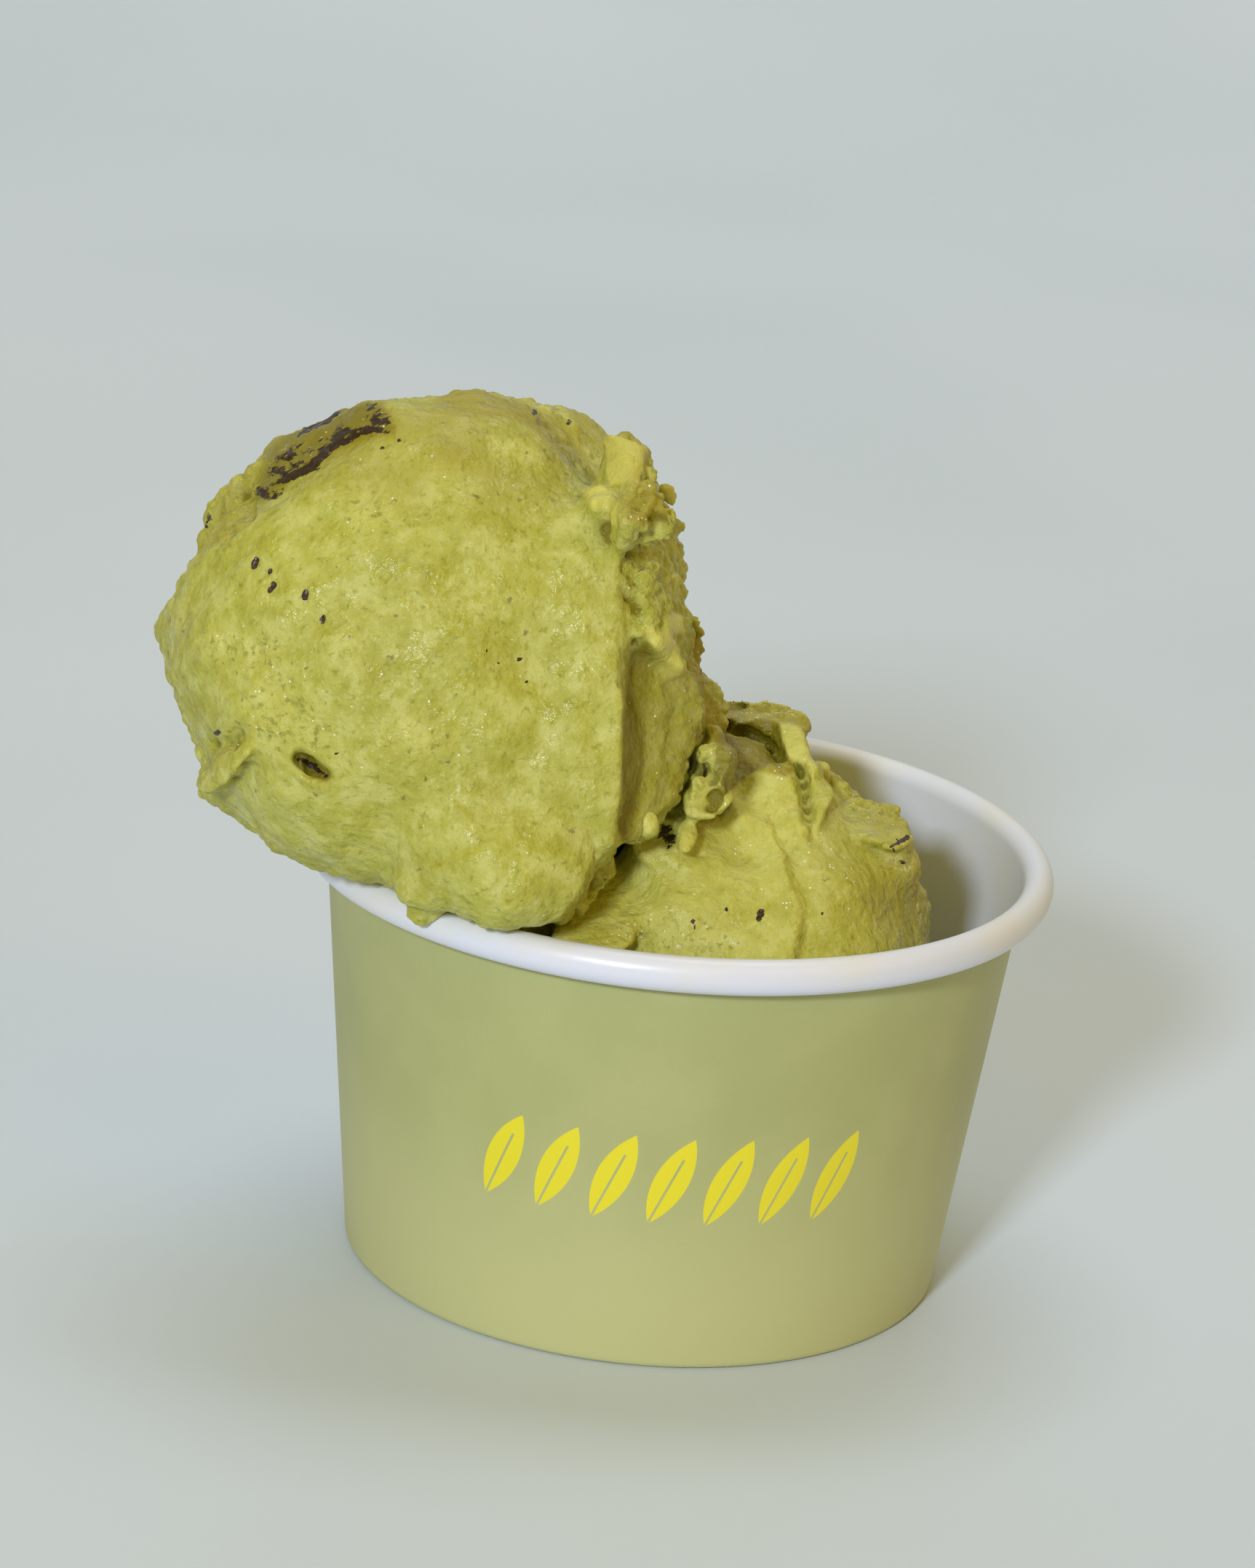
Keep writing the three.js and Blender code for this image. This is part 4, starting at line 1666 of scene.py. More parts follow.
    holes: Sequence[tuple[float, float, float, float]] = (  # across, up, half width, depth
        (-51.8, 63.0, 0.4, 1.0), (-52.7, 62.0, 0.4, 1.4), (-54.4, 61.9, 0.4, 0.8), (-44.6, 61.9, 0.4, 0.9),
        (-47.8, 69.6, 0.5, 0.6), (-45.5, 65.9, 0.5, 0.6), (-33.5, 94.7, 0.6, 0.5), (-38.0, 50.9, 0.6, 0.5),
        (-20.8, 44.9, 0.6, 0.5),
    )
    flake_pits: Sequence[Path] = (((-51.2, 83.8),), ((-49.2, 81.2),), ((-45.3, 80.4),), ((-43.1, 77.9),))

    def dabs(self) -> list[Dab]:
        """The torn edge's curls and nubs, the hanging tongue and the nub over the rim."""
        side = [
            Dab(crumb(x, z, r, 1.1 * r, seed), 0.6 * r)
            for seed, (x, z, r) in enumerate(self.side_crumbs, 300)
        ]
        rim = [
            Dab(crumb(x - 0.6, z, 1.3 * r, r, seed), 0.8, sink=3.0, depth=-3.0, lumps=0.3)
            for seed, (x, z, r) in enumerate(self.rim_crumbs, 350)
        ]
        edge = [
            Dab(crumb(x, z, r, 1.5 * r, seed), 0.5, sink=2.0)
            for seed, (x, z, r) in enumerate(self.edge_nubs, 380)
        ]
        return [
            *edge,
            *side,
            *rim,
            Dab(self.bank, 0.9, flat=4.0, sink=3.0, lumps=0.2, large=True),
            Dab(self.curl, 1.5, flat=6.0, sink=3.0, lumps=0.06),
            Dab(self.blob, 1.0, flat=3.0, sink=3.0, lumps=0.06),
            Dab(self.crest, 1.2, sink=2.0, flat=3.0, depth=-3.0),
            Dab(self.nub, 0.9, depth=-10.0),
            Dab(self.plate, 0.6, sink=12.0, flat=8.0, depth=-28.8, lean=(0.85, 0.0), lumps=0.03, large=True),
            Dab(self.pale_lump, 1.4, sink=4.0, lumps=0.08),
            Dab(self.pale_crumb, 1.0),
            Dab(self.lip_bump, 0.9),
            Dab(self.lip_nub, 0.9),
            Dab(self.flap, 0.8, flat=4.0, depth=-11.0, lean=(-0.7, 0.0), lumps=0.25, large=True),
            Dab(self.tongue, 2.4, sink=6.0, depth=-34.3, lean=(-1.4, 0.0), lumps=0.05),
            Dab(self.rim_nub, 1.2, depth=-36.5),
        ]

    def press(self, clay: Clay) -> None:
        """Carry the smooth front on to its torn edge, and bring out the torn side beyond it."""
        clay.mark([Stroke(self.dome, 6.0, 2.6), Stroke(((-27.0, 106.0), (-18.0, 105.5)), 4.5, 1.4)])
        clay.carry_face(self.edge, 13.0, 26.0, 0.004)
        clay.bring_out(self.edge, 9.0, 9.0, (55.0, 62.0), (99.0, 92.0))
        clay.bring_out(self.edge, 5.0, 6.0, (74.0, 80.0), (98.0, 93.0))
        clay.bring_out(self.edge, -9.0, 8.0, (40.0, 43.0), (57.0, 53.5))

    def marks(self) -> list[Mark]:
        """The torn edge, the scraped strip, the holes and the smears.

        Returns:
            The marks, in order.
        """
        pits = [Stroke(((across, up),), width, -depth) for across, up, width, depth in self.holes]
        return [
            Stroke(self.edge, 2.0, -0.8, 0.15, 0.35, Push.SIGHT),
            *(Stroke(path, 0.4, height) for path, height in self.scratches),
            Stroke(self.slot, 0.42, -4.0, push=Push.SIGHT),
            Stroke(((-43.9, 60.2), (-42.8, 59.4)), 0.6, -0.8),
            Stroke(((-44.9, 59.4), (-43.5, 58.4), (-41.8, 58.1)), 0.7, 0.5),
            Stroke(((-41.3, 57.7),), 0.9, 0.4),
            Stroke(((-54.9, 61.9), (-53.4, 62.3), (-51.9, 63.9)), 0.4, -0.8),
            Stroke(((-20.4, 55.6), (-21.9, 53.0), (-25.0, 50.9), (-27.7, 49.8)), 2.2, 0.3, -0.3, 0.6),
            Stroke(((-34.0, 73.0), (-35.8, 71.0), (-37.4, 67.2), (-39.2, 64.0)), 2.6, 0.25, -0.25, 0.8),
            Stroke(((-11.4, 70.9), (-10.7, 68.4), (-10.8, 66.8)), 1.0, -0.3),
            Stroke(self.streaks[0][0], 1.6, 0.25, -0.4, 0.4),
            Stroke(self.flap_fold, 1.4, -0.5, 0.3, 0.3),
            *(Stroke(pit, 0.65, -0.5) for pit in self.flake_pits),
            *pits,
        ]

    def masks(self, clay: Clay) -> dict[str, Array]:
        """The smooth front is even; the side, the back and the porous patches are torn.

        Args:
            clay: The mesh.

        Returns:
            The masks by name.
        """
        seen = VIEW.sight(clay.places)
        facing = clay.facing()
        acrosses, ups = np.array(self.edge)[::-1].T
        torn_edge = np.interp(seen[:, 1], ups, acrosses)
        right = ease(seen[:, 0] - torn_edge, 0.1, 0.9)
        strip = clay.within(self.plate, 0.6)
        # painted light: the curl, the blob, the lumps and the nub are laid paler as lit faces
        pale_dabs = (self.curl, self.blob, self.pale_lump, self.pale_crumb, self.nub)
        pale = most(*(clay.within(dab, 0.3) for dab in pale_dabs))
        side = right * (1 - 0.8 * strip) * (1 - 0.8 * pale)
        back = ease(facing, 0.42, 0.05)
        pore = most(*(clay.within(outline, 1.4) * share for outline, share in self.porous))
        zone = clay.within(self.streak_zone, 1.1)
        nut = most(*(clay.near(path, wide) * share for path, wide, share in self.streaks)) * zone
        # the dark skin colour in the slot is painted shade in the deep hole
        nut = most(nut, clay.dotted(self.specks) * 0.85, 0.75 * clay.near(self.slot, 0.4))
        # painted shade: the top, which faces away from the key, the strip and the listed patches are laid
        # darker ochre; the streaky patch is ochre in its own tint, and the flap is laid ochre too
        top = ease(clay.places[:, 2], 96.0, 105.0)
        ochre_and_shade = np.clip(zone * 0.6 + top * ease(noise(clay.places, 7.0, 3), -0.5, 0.4) * 0.8, 0, 1)
        flap = clay.within(self.flap, 0.5)
        ochre_and_shade = most(ochre_and_shade, 0.5 * flap, 0.15 * strip, *(clay.within(outline, 0.8) for outline in self.painted_shade_patches))
        rough = np.clip(most(side, back * 0.6, pore * 0.6, zone * 0.35, flap * 0.7), 0, 1)
        pale = np.maximum(pale, 0.7 * pore)
        pore = np.clip(np.maximum(pore, 0.25 * side), 0, 1)
        # painted shade in the deep slot and on the strip, darkest next to the lip; the streaky patch gets the
        # same olive as its own tint
        hollow = 0.6 * zone + clay.near(self.slot, 0.9) + strip * (0.4 + 0.4 * ease(seen[:, 0], -4.2, -6.4))
        return {
            "rough": rough * (1 - 0.4 * zone),
            "nut": nut,
            "pale": pale,
            "ochre_and_shade": ochre_and_shade,
            "pore": pore,
            "hollow": hollow,
            "glint": most(0.1 * zone, 0.4 * pore, 0.2 * side),
        }


@dataclass
class SmallScoop(Scoop):
    """The small scoop: folded smears, a crack, a petal standing behind, and a frosty right flank."""

    node: str = "gelato_small"
    name: str = "scoop_small"
    coarse: float = 0.45
    fine: float = 0.34
    seed: int = 107
    hidden_below: float = 34.0
    evened: Balls = (((-1.5, -25.0, 60.0), 9.0),)

    smear: Path = (
        (5.2, 60.8), (5.6, 62.2), (6.6, 63.4), (8.2, 64.8), (9.9, 65.8), (11.3, 65.5), (12.7, 65.3),
        (12.8, 63.8), (13.6, 61.3), (14.6, 58.4), (13.5, 55.5), (11.3, 54.0), (8.0, 54.0), (5.9, 57.0),
    )
    petal: Path = (
        (3.3, 69.2), (4.4, 69.2), (5.6, 69.2), (7.2, 68.8), (8.7, 68.3), (9.4, 67.7), (10.0, 67.0),
        (10.8, 66.1), (11.9, 65.6), (11.6, 64.2), (8.2, 63.6), (5.0, 61.6), (3.4, 64.0),
    )
    shelf: Path = (
        (2.4, 70.6), (3.0, 72.7), (3.9, 72.8), (4.8, 72.9), (5.8, 73.3), (7.1, 72.8), (8.6, 73.4),
        (10.0, 73.1), (11.6, 72.9), (12.8, 72.5), (13.8, 72.1), (14.1, 71.1), (14.4, 70.3), (13.7, 69.9),
        (13.6, 67.4), (12.0, 64.5), (8.0, 65.0), (4.6, 66.0), (2.6, 68.0),
    )
    shelf_top: Path = (
        (2.2, 70.8), (2.6, 73.6), (5.7, 74.2), (9.6, 74.2), (13.9, 73.2), (15.0, 70.6), (13.2, 70.2),
        (12.9, 70.9), (11.6, 71.2), (9.8, 71.4), (7.8, 71.5), (6.4, 70.9), (5.1, 70.2), (3.9, 71.2),
    )
    wall: Path = (
        (3.7, 71.1), (5.1, 70.1), (6.4, 70.8), (7.8, 71.4), (9.8, 71.3), (10.6, 70.9), (10.9, 69.8),
        (11.0, 68.5), (11.8, 67.3), (12.6, 65.8), (11.4, 66.4), (10.5, 67.2), (9.5, 68.3), (8.0, 69.3),
        (5.4, 69.8), (4.1, 70.4),
    )
    # streaks on the shelf's top, along which painted glints are laid
    shelf_streaks: Sequence[Path] = (
        ((3.4, 71.5), (5.0, 71.4), (7.2, 72.0)),
        ((6.9, 72.2), (8.7, 73.4)),
        ((5.1, 70.2), (6.4, 70.9), (7.8, 71.5)),
        ((8.2, 71.7), (9.6, 72.2), (12.2, 72.3)),
        ((3.2, 72.4), (4.4, 72.6)),
    )
    block: Path = (
        (10.2, 71.0), (11.6, 71.1), (12.9, 70.8), (13.6, 69.9), (13.7, 68.7), (14.5, 67.3), (15.3, 66.2),
        (15.4, 64.9), (14.5, 64.6), (13.3, 65.6), (12.4, 66.5), (11.5, 67.5), (10.9, 68.7), (10.4, 69.8),
    )
    valley: Path = (
        (4.1, 70.1), (5.9, 69.5), (7.5, 69.2), (8.8, 68.6), (9.7, 67.8), (10.3, 66.9), (11.1, 66.2),
        (12.1, 65.8), (13.2, 65.3),
    )
    fold: Path = (
        (6.5, 61.4), (8.3, 60.1), (10.1, 58.8), (11.3, 58.2), (11.9, 56.9), (12.8, 54.6), (13.6, 52.8),
        (14.6, 50.5), (15.4, 48.2), (15.6, 45.5), (15.4, 42.7),
    )
    fold_lip: Path = ((10.1, 59.7), (11.3, 58.6), (11.1, 57.4), (12.1, 56.0), (12.8, 54.9))
    shoulder_crumbs: Spots = (
        (15.8, 65.7, 0.9), (16.9, 65.0, 0.8), (18.8, 64.0, 0.8), (19.9, 63.0, 0.8), (21.8, 62.3, 0.7),
        (23.2, 61.9, 0.9), (24.6, 61.6, 0.8), (25.9, 60.2, 0.8), (18.0, 62.6, 0.6),
    )
    shoulder: Path = (
        (15.9, 65.4), (17.7, 65.0), (19.5, 64.1), (21.0, 62.9), (23.2, 62.7), (24.6, 62.4), (26.1, 61.0),
    )
    shoulder_fill: Path = (
        (17.0, 64.4), (19.5, 63.6), (21.0, 62.5), (23.2, 62.3), (24.6, 62.0), (26.1, 60.6), (27.4, 58.6),
        (26.5, 57.0), (23.0, 57.5), (19.0, 60.5),
    )
    knob: Path = (
        (-0.2, 57.5), (0.3, 58.1), (1.1, 58.3), (1.9, 57.8), (2.3, 56.7), (2.2, 55.2), (1.8, 54.1),
        (0.7, 53.8), (0.0, 54.5), (0.0, 56.0),
    )
    crumbs: Sequence[tuple[Path, float]] = (  # outline, depth
        (((1.1, 66.2), (1.4, 67.5), (2.5, 67.9), (4.2, 67.7), (5.4, 67.4), (5.8, 66.9), (5.9, 65.8),
            (5.7, 65.2), (4.4, 64.6), (2.6, 65.2), (1.6, 65.1)), -24.5),
        (((2.9, 65.4), (5.7, 65.4), (5.7, 63.4), (5.3, 62.4), (4.1, 62.4), (3.4, 63.1),
            (2.8, 64.0)), -24.0),
        (((0.9, 63.8), (1.8, 64.2), (2.6, 64.0), (3.1, 62.6), (3.2, 61.2), (3.7, 59.4), (2.8, 59.6),
            (1.8, 60.4), (0.7, 59.5), (0.7, 62.3)), -25.0),
        (((1.9, 69.9), (2.7, 70.2), (3.4, 70.0), (3.9, 69.3), (4.1, 68.6), (3.9, 67.9), (2.9, 67.6),
            (2.1, 68.7)), -17.0),
    )
    cluster: Path = (
        (0.9, 66.4), (1.8, 67.8), (2.4, 69.8), (3.6, 69.8), (4.4, 67.9), (5.8, 67.0), (5.8, 64.5),
        (5.6, 61.4), (4.6, 58.8), (2.0, 58.6), (0.3, 59.2), (0.4, 62.0), (0.8, 64.6),
    )
    nook: Path = (
        (-13.5, 41.0), (-5.0, 41.0), (-3.6, 46.0), (-3.2, 51.0), (-4.2, 54.8), (-7.0, 52.6), (-10.0, 48.5),
        (-12.8, 45.0),
    )
    link: Path = (
        (-5.0, 54.0), (-3.0, 52.0), (1.0, 54.5), (1.6, 58.0), (0.9, 61.5), (-0.6, 61.2), (-2.3, 59.4),
        (-4.4, 57.5),
    )
    ridge: Path = (
        (12.9, 66.6), (15.4, 66.6), (16.4, 64.5), (16.8, 61.0), (16.2, 58.0), (15.3, 59.2), (15.0, 61.8),
        (14.4, 64.2),
    )
    lobes: Spots = (
        (1.9, 66.5, 0.8), (3.2, 67.0, 0.8), (4.9, 66.6, 0.9), (5.1, 64.9, 0.7), (4.5, 63.4, 0.9),
        (3.6, 64.6, 0.5), (1.7, 65.4, 0.5), (1.5, 63.3, 0.6), (2.4, 62.4, 0.7), (1.6, 61.3, 0.6),
        (2.7, 60.6, 0.5), (1.2, 60.1, 0.4), (4.0, 61.4, 1.1), (4.5, 60.4, 0.8),
    )
    ball: Path = (
        (-5.1, 57.9), (-4.3, 58.8), (-3.5, 59.1), (-2.7, 58.4), (-2.2, 57.1), (-2.4, 55.9), (-3.4, 55.2),
        (-4.5, 55.5), (-5.0, 56.7),
    )
    nut: Path = (
        (24.7, 57.9), (25.0, 58.8), (26.3, 59.1), (27.5, 58.5), (27.4, 57.3), (26.8, 55.7), (25.8, 55.6),
        (25.0, 56.4),
    )
    low_lump: Path = (
        (-5.4, 48.2), (-4.6, 47.4), (-5.2, 46.1), (-6.3, 45.1), (-7.3, 44.4), (-7.8, 45.8), (-6.5, 47.5),
    )
    frosty: Path = ((26.9, 55.4), (28.2, 54.3), (29.3, 51.4), (29.9, 48.4), (29.9, 45.0))
    wet_skin: Path = (
        (-2.1, 57.3), (-1.4, 57.8), (-0.2, 57.3), (0.0, 56.3), (-0.3, 54.8), (-0.8, 53.3), (-1.4, 54.5),
        (-1.8, 55.5), (-2.6, 55.1), (-2.1, 56.2),
    )
    specks: Spots = (
        (10.4, 47.3, 0.45), (10.3, 46.9, 0.4), (17.7, 48.2, 0.25), (6.6, 47.6, 0.25), (-4.9, 58.0, 0.25),
    )
    skin_lines: Lines = (
        (((2.7, 45.8), (3.1, 44.8), (3.6, 43.5)), 0.3, 0.65),
        (((4.3, 45.6), (4.9, 44.9)), 0.3, 0.6),
        (((24.8, 57.2), (25.6, 57.8), (26.6, 58.6)), 0.3, 1.0),
        (((25.6, 55.9), (26.6, 55.4)), 0.25, 1.0),
        (((2.5, 64.6), (2.4, 63.8)), 0.25, 1.0),
    )
    glints: Spots = (
        (-5.3, 44.3, 1.6), (-2.7, 43.6, 1.5), (-2.7, 50.4, 1.2), (0.1, 47.1, 0.9), (3.8, 42.5, 1.2),
        (0.6, 44.2, 1.2), (2.1, 49.4, 1.2), (-0.6, 55.6, 0.8), (7.9, 55.6, 0.9), (10.7, 64.5, 0.9),
        (2.9, 66.4, 1.2), (1.7, 63.0, 0.9), (5.0, 60.8, 0.9), (16.0, 57.0, 1.2), (11.6, 70.2, 0.8),
        (20.0, 54.0, 2.0), (13.0, 50.0, 2.0),
    )

    def dabs(self) -> list[Dab]:
        """The knob and the crumbs between the scoops, and the nut at the shoulder."""
        crumbs = [Dab(outline, 1.3, sink=12.0, depth=depth, lumps=0.2) for outline, depth in self.crumbs]
        lobes = [
            Dab(crumb(x, z, r, r, seed), 1.0, sink=3.0, depth=-25.5)
            for seed, (x, z, r) in enumerate(self.lobes, 450)
        ]
        shoulder = [
            Dab(crumb(x, z, r, r, seed), 1.0, sink=3.0, depth=-3.0 - 2.0 * max(0.0, 63.0 - z))
            for seed, (x, z, r) in enumerate(self.shoulder_crumbs, 400)
        ]
        return [
            Dab(self.shelf, 1.6, sink=5.0, flat=6.0, depth=1.5, lean=(0.0, 0.25), large=True),
            Dab(self.petal, 0.7, sink=4.0, flat=6.0, depth=-8.0, lean=(0.0, 1.1), large=True),
            Dab(self.block, 1.2, sink=4.0, flat=3.0, depth=-6.5, lean=(-0.3, 1.1), large=True),
            Dab(self.nook, 1.2, sink=10.0, flat=5.0, depth=-27.2, lean=(0.0, 1.0), large=True),
            Dab(self.link, 1.0, sink=8.0, flat=4.0, depth=-22.5, lean=(0.0, 0.5), large=True),
            Dab(self.ridge, 1.2, sink=6.0, flat=3.0, depth=-12.6, lean=(0.0, 1.0), large=True),
            Dab(self.cluster, 1.5, sink=8.0, flat=4.0, depth=-20.5, lean=(0.0, 0.8), lumps=0.2, large=True),
            *crumbs,
            *lobes,
            Dab(self.shoulder_fill, 1.5, sink=6.0, flat=3.0, depth=-8.5, lean=(0.0, 1.9), large=True),
            *shoulder,
            Dab(self.knob, 1.8, sink=3.0, depth=-26.5, lean=(0.0, 0.9), lumps=0.05),
            Dab(self.ball, 1.6, sink=8.0, depth=-31.5, lumps=0.05),
            Dab(self.smear, 1.3, sink=3.0, flat=6.0, large=True),
            Dab(self.nut, 0.8),
            Dab(self.low_lump, 0.9),
        ]

    def marks(self) -> list[Mark]:
        """The folds, the crack and the valley behind the smear.

        Returns:
            The marks, in order.
        """
        return [
            Pad(self.wet_skin, -0.9, 0.3, push=Push.SIGHT),
            Stroke(((12.9, 65.8), (13.9, 63.6), (14.4, 61.4), (15.0, 58.8)), 1.8, -0.7, 0.6, 0.25),
            Stroke(((13.3, 65.6), (14.0, 63.4), (14.5, 61.2), (14.9, 59.6)), 0.45, -4.5, push=Push.SIGHT),
            Pad(self.shelf_top, -7.0, 0.3, (70.2, 73.4), Push.SIGHT),
            Stroke(self.valley, 0.6, -4.0, push=Push.SIGHT),
            Stroke(((3.5, 60.0), (4.1, 61.4)), 0.5, -1.0),
            Stroke(((2.4, 65.6), (2.7, 64.9), (2.4, 64.2)), 0.35, -0.8, push=Push.SIGHT),
            *(Stroke(path, 0.3, 0.3) for path in self.shelf_streaks),
            Stroke(self.fold, 2.2, -0.8, 0.5, 1.1),
            Stroke(((4.8, 61.3), (6.7, 58.8), (8.1, 56.5), (8.3, 54.4)), 1.4, 0.3, -0.4, 0.7),
            Stroke(self.fold_lip, 0.7, -0.4, 0.35, 0.3),
            Stroke(((17.5, 62.0), (20.0, 57.0), (22.0, 52.0)), 2.6, 0.4),
            Stroke(((18.8, 63.2), (19.6, 60.8)), 0.6, -0.6),
            Stroke(((-1.2, 53.4), (2.0, 52.0), (5.0, 53.6)), 0.9, 0.5),
            Stroke(((0.2, 50.4), (3.2, 49.4), (5.6, 50.6)), 0.7, -0.4),
            Stroke(((-4.6, 50.2), (-1.6, 47.6), (0.6, 44.6)), 0.9, -0.35),
            Stroke(((10.4, 47.2),), 0.6, -0.4),
            Stroke(((24.3, 55.2), (25.6, 54.9), (26.8, 54.9)), 0.4, -0.4),
        ]

    def masks(self, clay: Clay) -> dict[str, Array]:
        """Rough at the shoulder and behind, frosty down the right flank.

        Args:
            clay: The mesh.

        Returns:
            The masks by name.
        """
        facing = clay.facing()
        back = ease(facing, 0.25, -0.05)
        shoulder = clay.near(self.shoulder, 2.0)
        lower_left = clay.near(((-4.0, 44.0), (2.0, 44.0), (6.0, 43.0)), 3.0)
        frost_and_glint = clay.near(self.frosty, 2.0) * ease(noise(clay.places, 1.3, self.seed + 60, 2), -0.35, 0.25)
        wet_crumbs = [clay.within(path, 0.3) for path, _ in self.crumbs[:3]]
        back_crumb = self.crumbs[3][0]
        block = clay.within(self.block, 0.3)
        # painted shade: the petal and the shelf behind the smear are laid ochre, and so is the crumb behind
        # them
        petal = clay.within(self.petal, 0.3) * (1 - clay.within(self.smear, 0.3))
        inner = np.maximum(petal, clay.within(self.shelf, 0.3)) * (1 - most(block, *wet_crumbs))
        inner = np.maximum(inner, 0.9 * clay.within(back_crumb, 0.4))
        wall = clay.within(self.wall, 0.3)
        streaks = most(*(clay.near(path, 0.3) for path in self.shelf_streaks))
        lines = (clay.near(path, wide) * share for path, wide, share in self.skin_lines)
        nut = most(clay.dotted(self.specks), *lines)
        nut = np.maximum(nut * 0.85, 0.55 * clay.within(self.wet_skin, 0.5))
        cluster = clay.within(self.cluster, 0.4)
        rough = most(back * 0.6, 0.8 * cluster, shoulder * 0.9, lower_left * 0.4, frost_and_glint * 0.3, 0.3 * inner)
        # painted light: the crumbs, the block, the knob, the ball and the smear are laid paler as lit, and so
        # are the scoop's left and middle
        pale = most(*wet_crumbs, block, clay.within(self.knob, 0.3), clay.within(self.ball, 0.3))
        right = ease(clay.places[:, 0], 22.0, 12.0)
        pale = np.maximum(pale * (0.8 - 0.5 * cluster), 0.35 * (1 - inner) * right)
        pale = np.maximum(pale, 0.7 * clay.within(self.smear, 1.0))
        brownish_tone = np.maximum(ease(clay.places[:, 0], 10.0, 26.0), ease(clay.places[:, 2], 52.0, 42.0))
        return {
            "rough": np.clip(rough, 0, 1),
            # painted glints along the shelf's streaks, and frost down the right flank
            "frost_and_glint": np.maximum(frost_and_glint, 0.9 * streaks),
            "pale": pale,
            # painted shade on the petal and the shelf, and more ochre towards the right and towards the
            # bottom
            "ochre_and_shade": np.maximum(inner, 0.45 * brownish_tone),
            "nut": nut,
            "pore": 0.35 * lower_left + 0.2 * shoulder,
            # painted shade on the wall under the shelf and on the petal behind the smear
            "hollow": np.maximum(0.7 * wall, 0.6 * petal),
            "glint": np.maximum(clay.dotted(self.glints), 0.3 * shoulder),
        }


@dataclass
class NutSkins:
    """Flakes of dark nut skin, pressed into the surface of the scoops."""

    flakes: Sequence[tuple[float, float, float, float, float]] = (
        # across and up on the sight plane, half width, half height, turn in degrees
        (-51.2, 83.8, 0.42, 1.15, 4),
        (-49.5, 83.2, 0.35, 0.42, 0),
        (-49.2, 81.2, 0.4, 0.85, -8),
        (-45.3, 80.4, 0.5, 1.3, 6),
        (-43.2, 77.9, 0.35, 0.95, -4),
        (10.4, 47.3, 0.36, 0.8, -25),
        (25.8, 58.0, 0.3, 0.7, 50),
        (25.1, 57.0, 0.2, 0.5, 30),
        (2.4, 64.3, 0.2, 0.5, 20),
    )

    def build(self, scoops: Sequence[Piece], material: Material) -> Piece:
        """Press the flakes in.

        Args:
            scoops: What the flakes lie on.
            material: Their finish.

        Returns:
            The flakes as one piece.
        """
        made = []
        for across, up, wide, tall, turn in self.flakes:
            hit = first_hit(scoops, across, up)
            if hit is None:
                LOG.warning("flake at %.1f, %.1f meets nothing", across, up)
                continue
            place, normal = hit
            made.append(ball(place - normal * 0.1, (wide, 0.22, tall), (0, -turn, 0), 3))
        piece = joined("nut_skins", made)
        clay = Clay(piece)
        clay.swell(noise(clay.places, 0.7, 5, 2) * 0.3)
        clay.write()
        piece.data.materials.append(material)
        return smooth(piece)


def first_hit(pieces: Sequence[Piece], across: float, up: float) -> Optional[tuple[Array, Array]]:
    """Where the line of sight through a place on the sight plane first meets a piece.

    Args:
        pieces: What it may meet.
        across: The place's distance across.
        up: The place's height.

    Returns:
        The place in millimetres from the cup's axis and the surface's normal there, or nothing.
    """
    start, direction = VIEW.ray(across, up)
    origin = CUP.at(*start)
    best = None
    for piece in pieces:
        hit, place, normal, _ = piece.ray_cast(origin, Vector(direction))
        if hit and (best is None or (place - origin).length < (best[0] - origin).length):
            best = (place, normal)
    if best is None:
        return None
    return np.array((best[0] - CUP.axis) / MM), np.array(best[1])


# ------------------------------------------------------------------ the stage


@dataclass(frozen=True)
class Lamp:
    """A square soft light. Its place, its aim and its width are in metres, its power in watts."""

    name: str
    place: Point
    aim: Sequence[float]
    width: float
    power: float
    tint: Point

    def hang(self) -> None:
        """Add the light."""
        bpy.ops.object.select_all(action="DESELECT")
        bpy.ops.object.light_add(type="AREA", location=self.place)
        light = bpy.context.object
        light.name = self.name
        light.data.size = self.width
        light.data.energy = self.power
        light.data.color = self.tint
        light.rotation_euler = (Vector(self.aim) - Vector(self.place)).to_track_quat("-Z", "Y").to_euler()


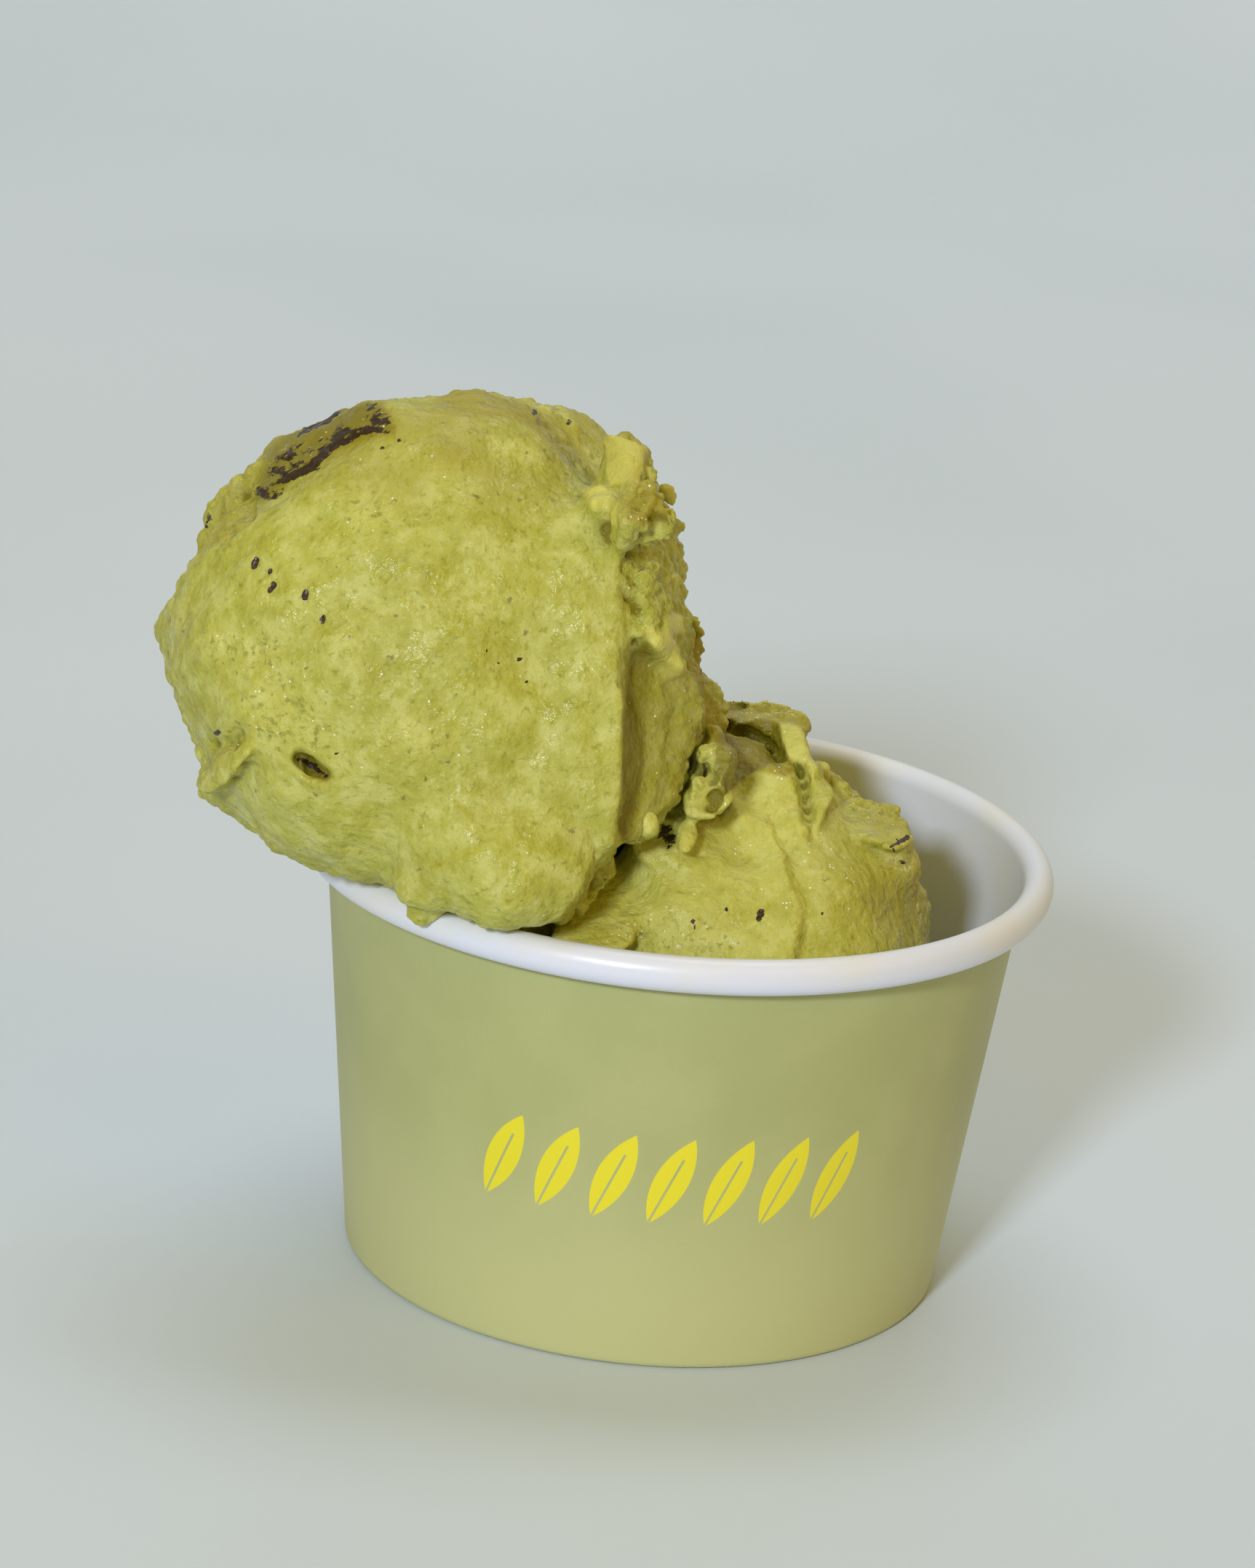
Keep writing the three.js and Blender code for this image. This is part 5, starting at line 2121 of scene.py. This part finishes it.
@dataclass
class Studio:
    """A pale floor that sweeps up behind, soft lights, and the camera. Lengths are in metres."""

    floor_front: float = -0.9
    floor_back: float = 1.1
    floor_half: float = 1.5
    sweep_rise: float = 1.4
    sweep_radius: float = 0.5
    room_tint: Point = (1.0, 0.72, 0.12)
    room_strength: float = 0.36

    def build_floor(self, material: Material) -> Piece:
        """The floor and its backdrop, as one sheet.

        Args:
            material: Its finish.

        Returns:
            The sheet.
        """
        bpy.ops.object.select_all(action="DESELECT")
        bpy.ops.mesh.primitive_plane_add(size=1.0, location=(0, 0, 0))
        piece = bpy.context.object
        piece.name = "studio_floor"
        bpy.ops.transform.resize(value=(2 * self.floor_half, self.floor_back - self.floor_front, 1))
        bpy.ops.transform.translate(value=(0, (self.floor_back + self.floor_front) / 2, 0))
        settle(piece)
        only(piece)
        bpy.ops.object.mode_set(mode="EDIT")
        bpy.ops.mesh.select_mode(type="EDGE")
        bpy.ops.mesh.select_all(action="DESELECT")
        bpy.ops.object.mode_set(mode="OBJECT")
        far = self.floor_back - 1e-4
        for edge in piece.data.edges:
            edge.select = all(piece.data.vertices[i].co.y > far for i in edge.vertices)
        bpy.ops.object.mode_set(mode="EDIT")
        bpy.ops.mesh.extrude_edges_move(TRANSFORM_OT_translate={"value": (0, 0, self.sweep_rise)})
        bpy.ops.object.mode_set(mode="OBJECT")
        modify(piece, "BEVEL", width=self.sweep_radius, segments=24, limit_method="ANGLE")
        piece.data.materials.append(material)
        smooth(piece)
        return piece

    def light(self) -> None:
        """The key at the left front, the fill, the backdrop's light and the room's own."""
        cup = CUP.at(0, 0, 60)
        Lamp("key", (-0.27, -1.02, 0.55), cup, 0.13, 8.3, (0.88, 0.94, 1.0)).hang()
        Lamp("fill", (0.9, -0.7, 0.7), cup, 0.9, 1.9, (1.0, 0.64, 0.16)).hang()
        Lamp("backdrop", (0.0, 0.35, 1.3), (0.0, 1.1, 0.35), 0.8, 7.5, (0.88, 0.96, 1.0)).hang()
        world = bpy.data.worlds.new("studio")
        bpy.context.scene.world = world
        world.use_nodes = True
        background = world.node_tree.nodes["Background"]
        background.inputs["Color"].default_value = (*self.room_tint, 1.0)
        background.inputs["Strength"].default_value = self.room_strength

    def add_camera(self) -> None:
        """The camera at the viewpoint."""
        bpy.ops.object.select_all(action="DESELECT")
        bpy.ops.object.camera_add(location=CUP.at(*VIEW.place), rotation=VIEW.rotation())
        camera = bpy.context.object
        camera.data.sensor_width = VIEW.film
        camera.data.sensor_height = VIEW.film
        camera.data.lens = VIEW.lens
        camera.data.clip_start = 0.01
        scene = bpy.context.scene
        scene.camera = camera
        scene.view_settings.view_transform = "Standard"
        scene.view_settings.look = "None"


# ------------------------------------------------------------------ putting it together


def take_over(piece: Piece, slot: str, *nodes: str) -> None:
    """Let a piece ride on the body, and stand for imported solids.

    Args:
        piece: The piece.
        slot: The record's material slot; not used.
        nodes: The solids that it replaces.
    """
    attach(piece, BODY)
    if nodes:
        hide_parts(*nodes)
    faces = sum(len(face.vertices) - 2 for face in piece.data.polygons)
    LOG.info("%s: %d triangles", piece.name, faces)


def main() -> None:
    """Build everything in order."""
    logging.basicConfig(level=logging.INFO, format="%(name)s: %(message)s")
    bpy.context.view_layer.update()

    studio = Studio()
    studio.add_camera()
    studio.light()
    studio.build_floor(StageFinish().material())

    white = BoardFinish().material()
    cup = PaperCup()
    take_over(cup.build_wall(PrintFinish().material(), white), "printed_paper", "cup_wall")
    take_over(cup.build_bottom(white), "white_paper", "cup_bottom")

    gelato = GelatoFinish().material()
    large = LargeScoop().build(gelato)
    small = SmallScoop().build(gelato)
    take_over(large, "gelato", "gelato_large")
    take_over(small, "gelato", "gelato_small")
    take_over(NutSkins().build([large, small], SkinFinish().material()), "nut_skin")


if __name__ == "__main__":
    main()
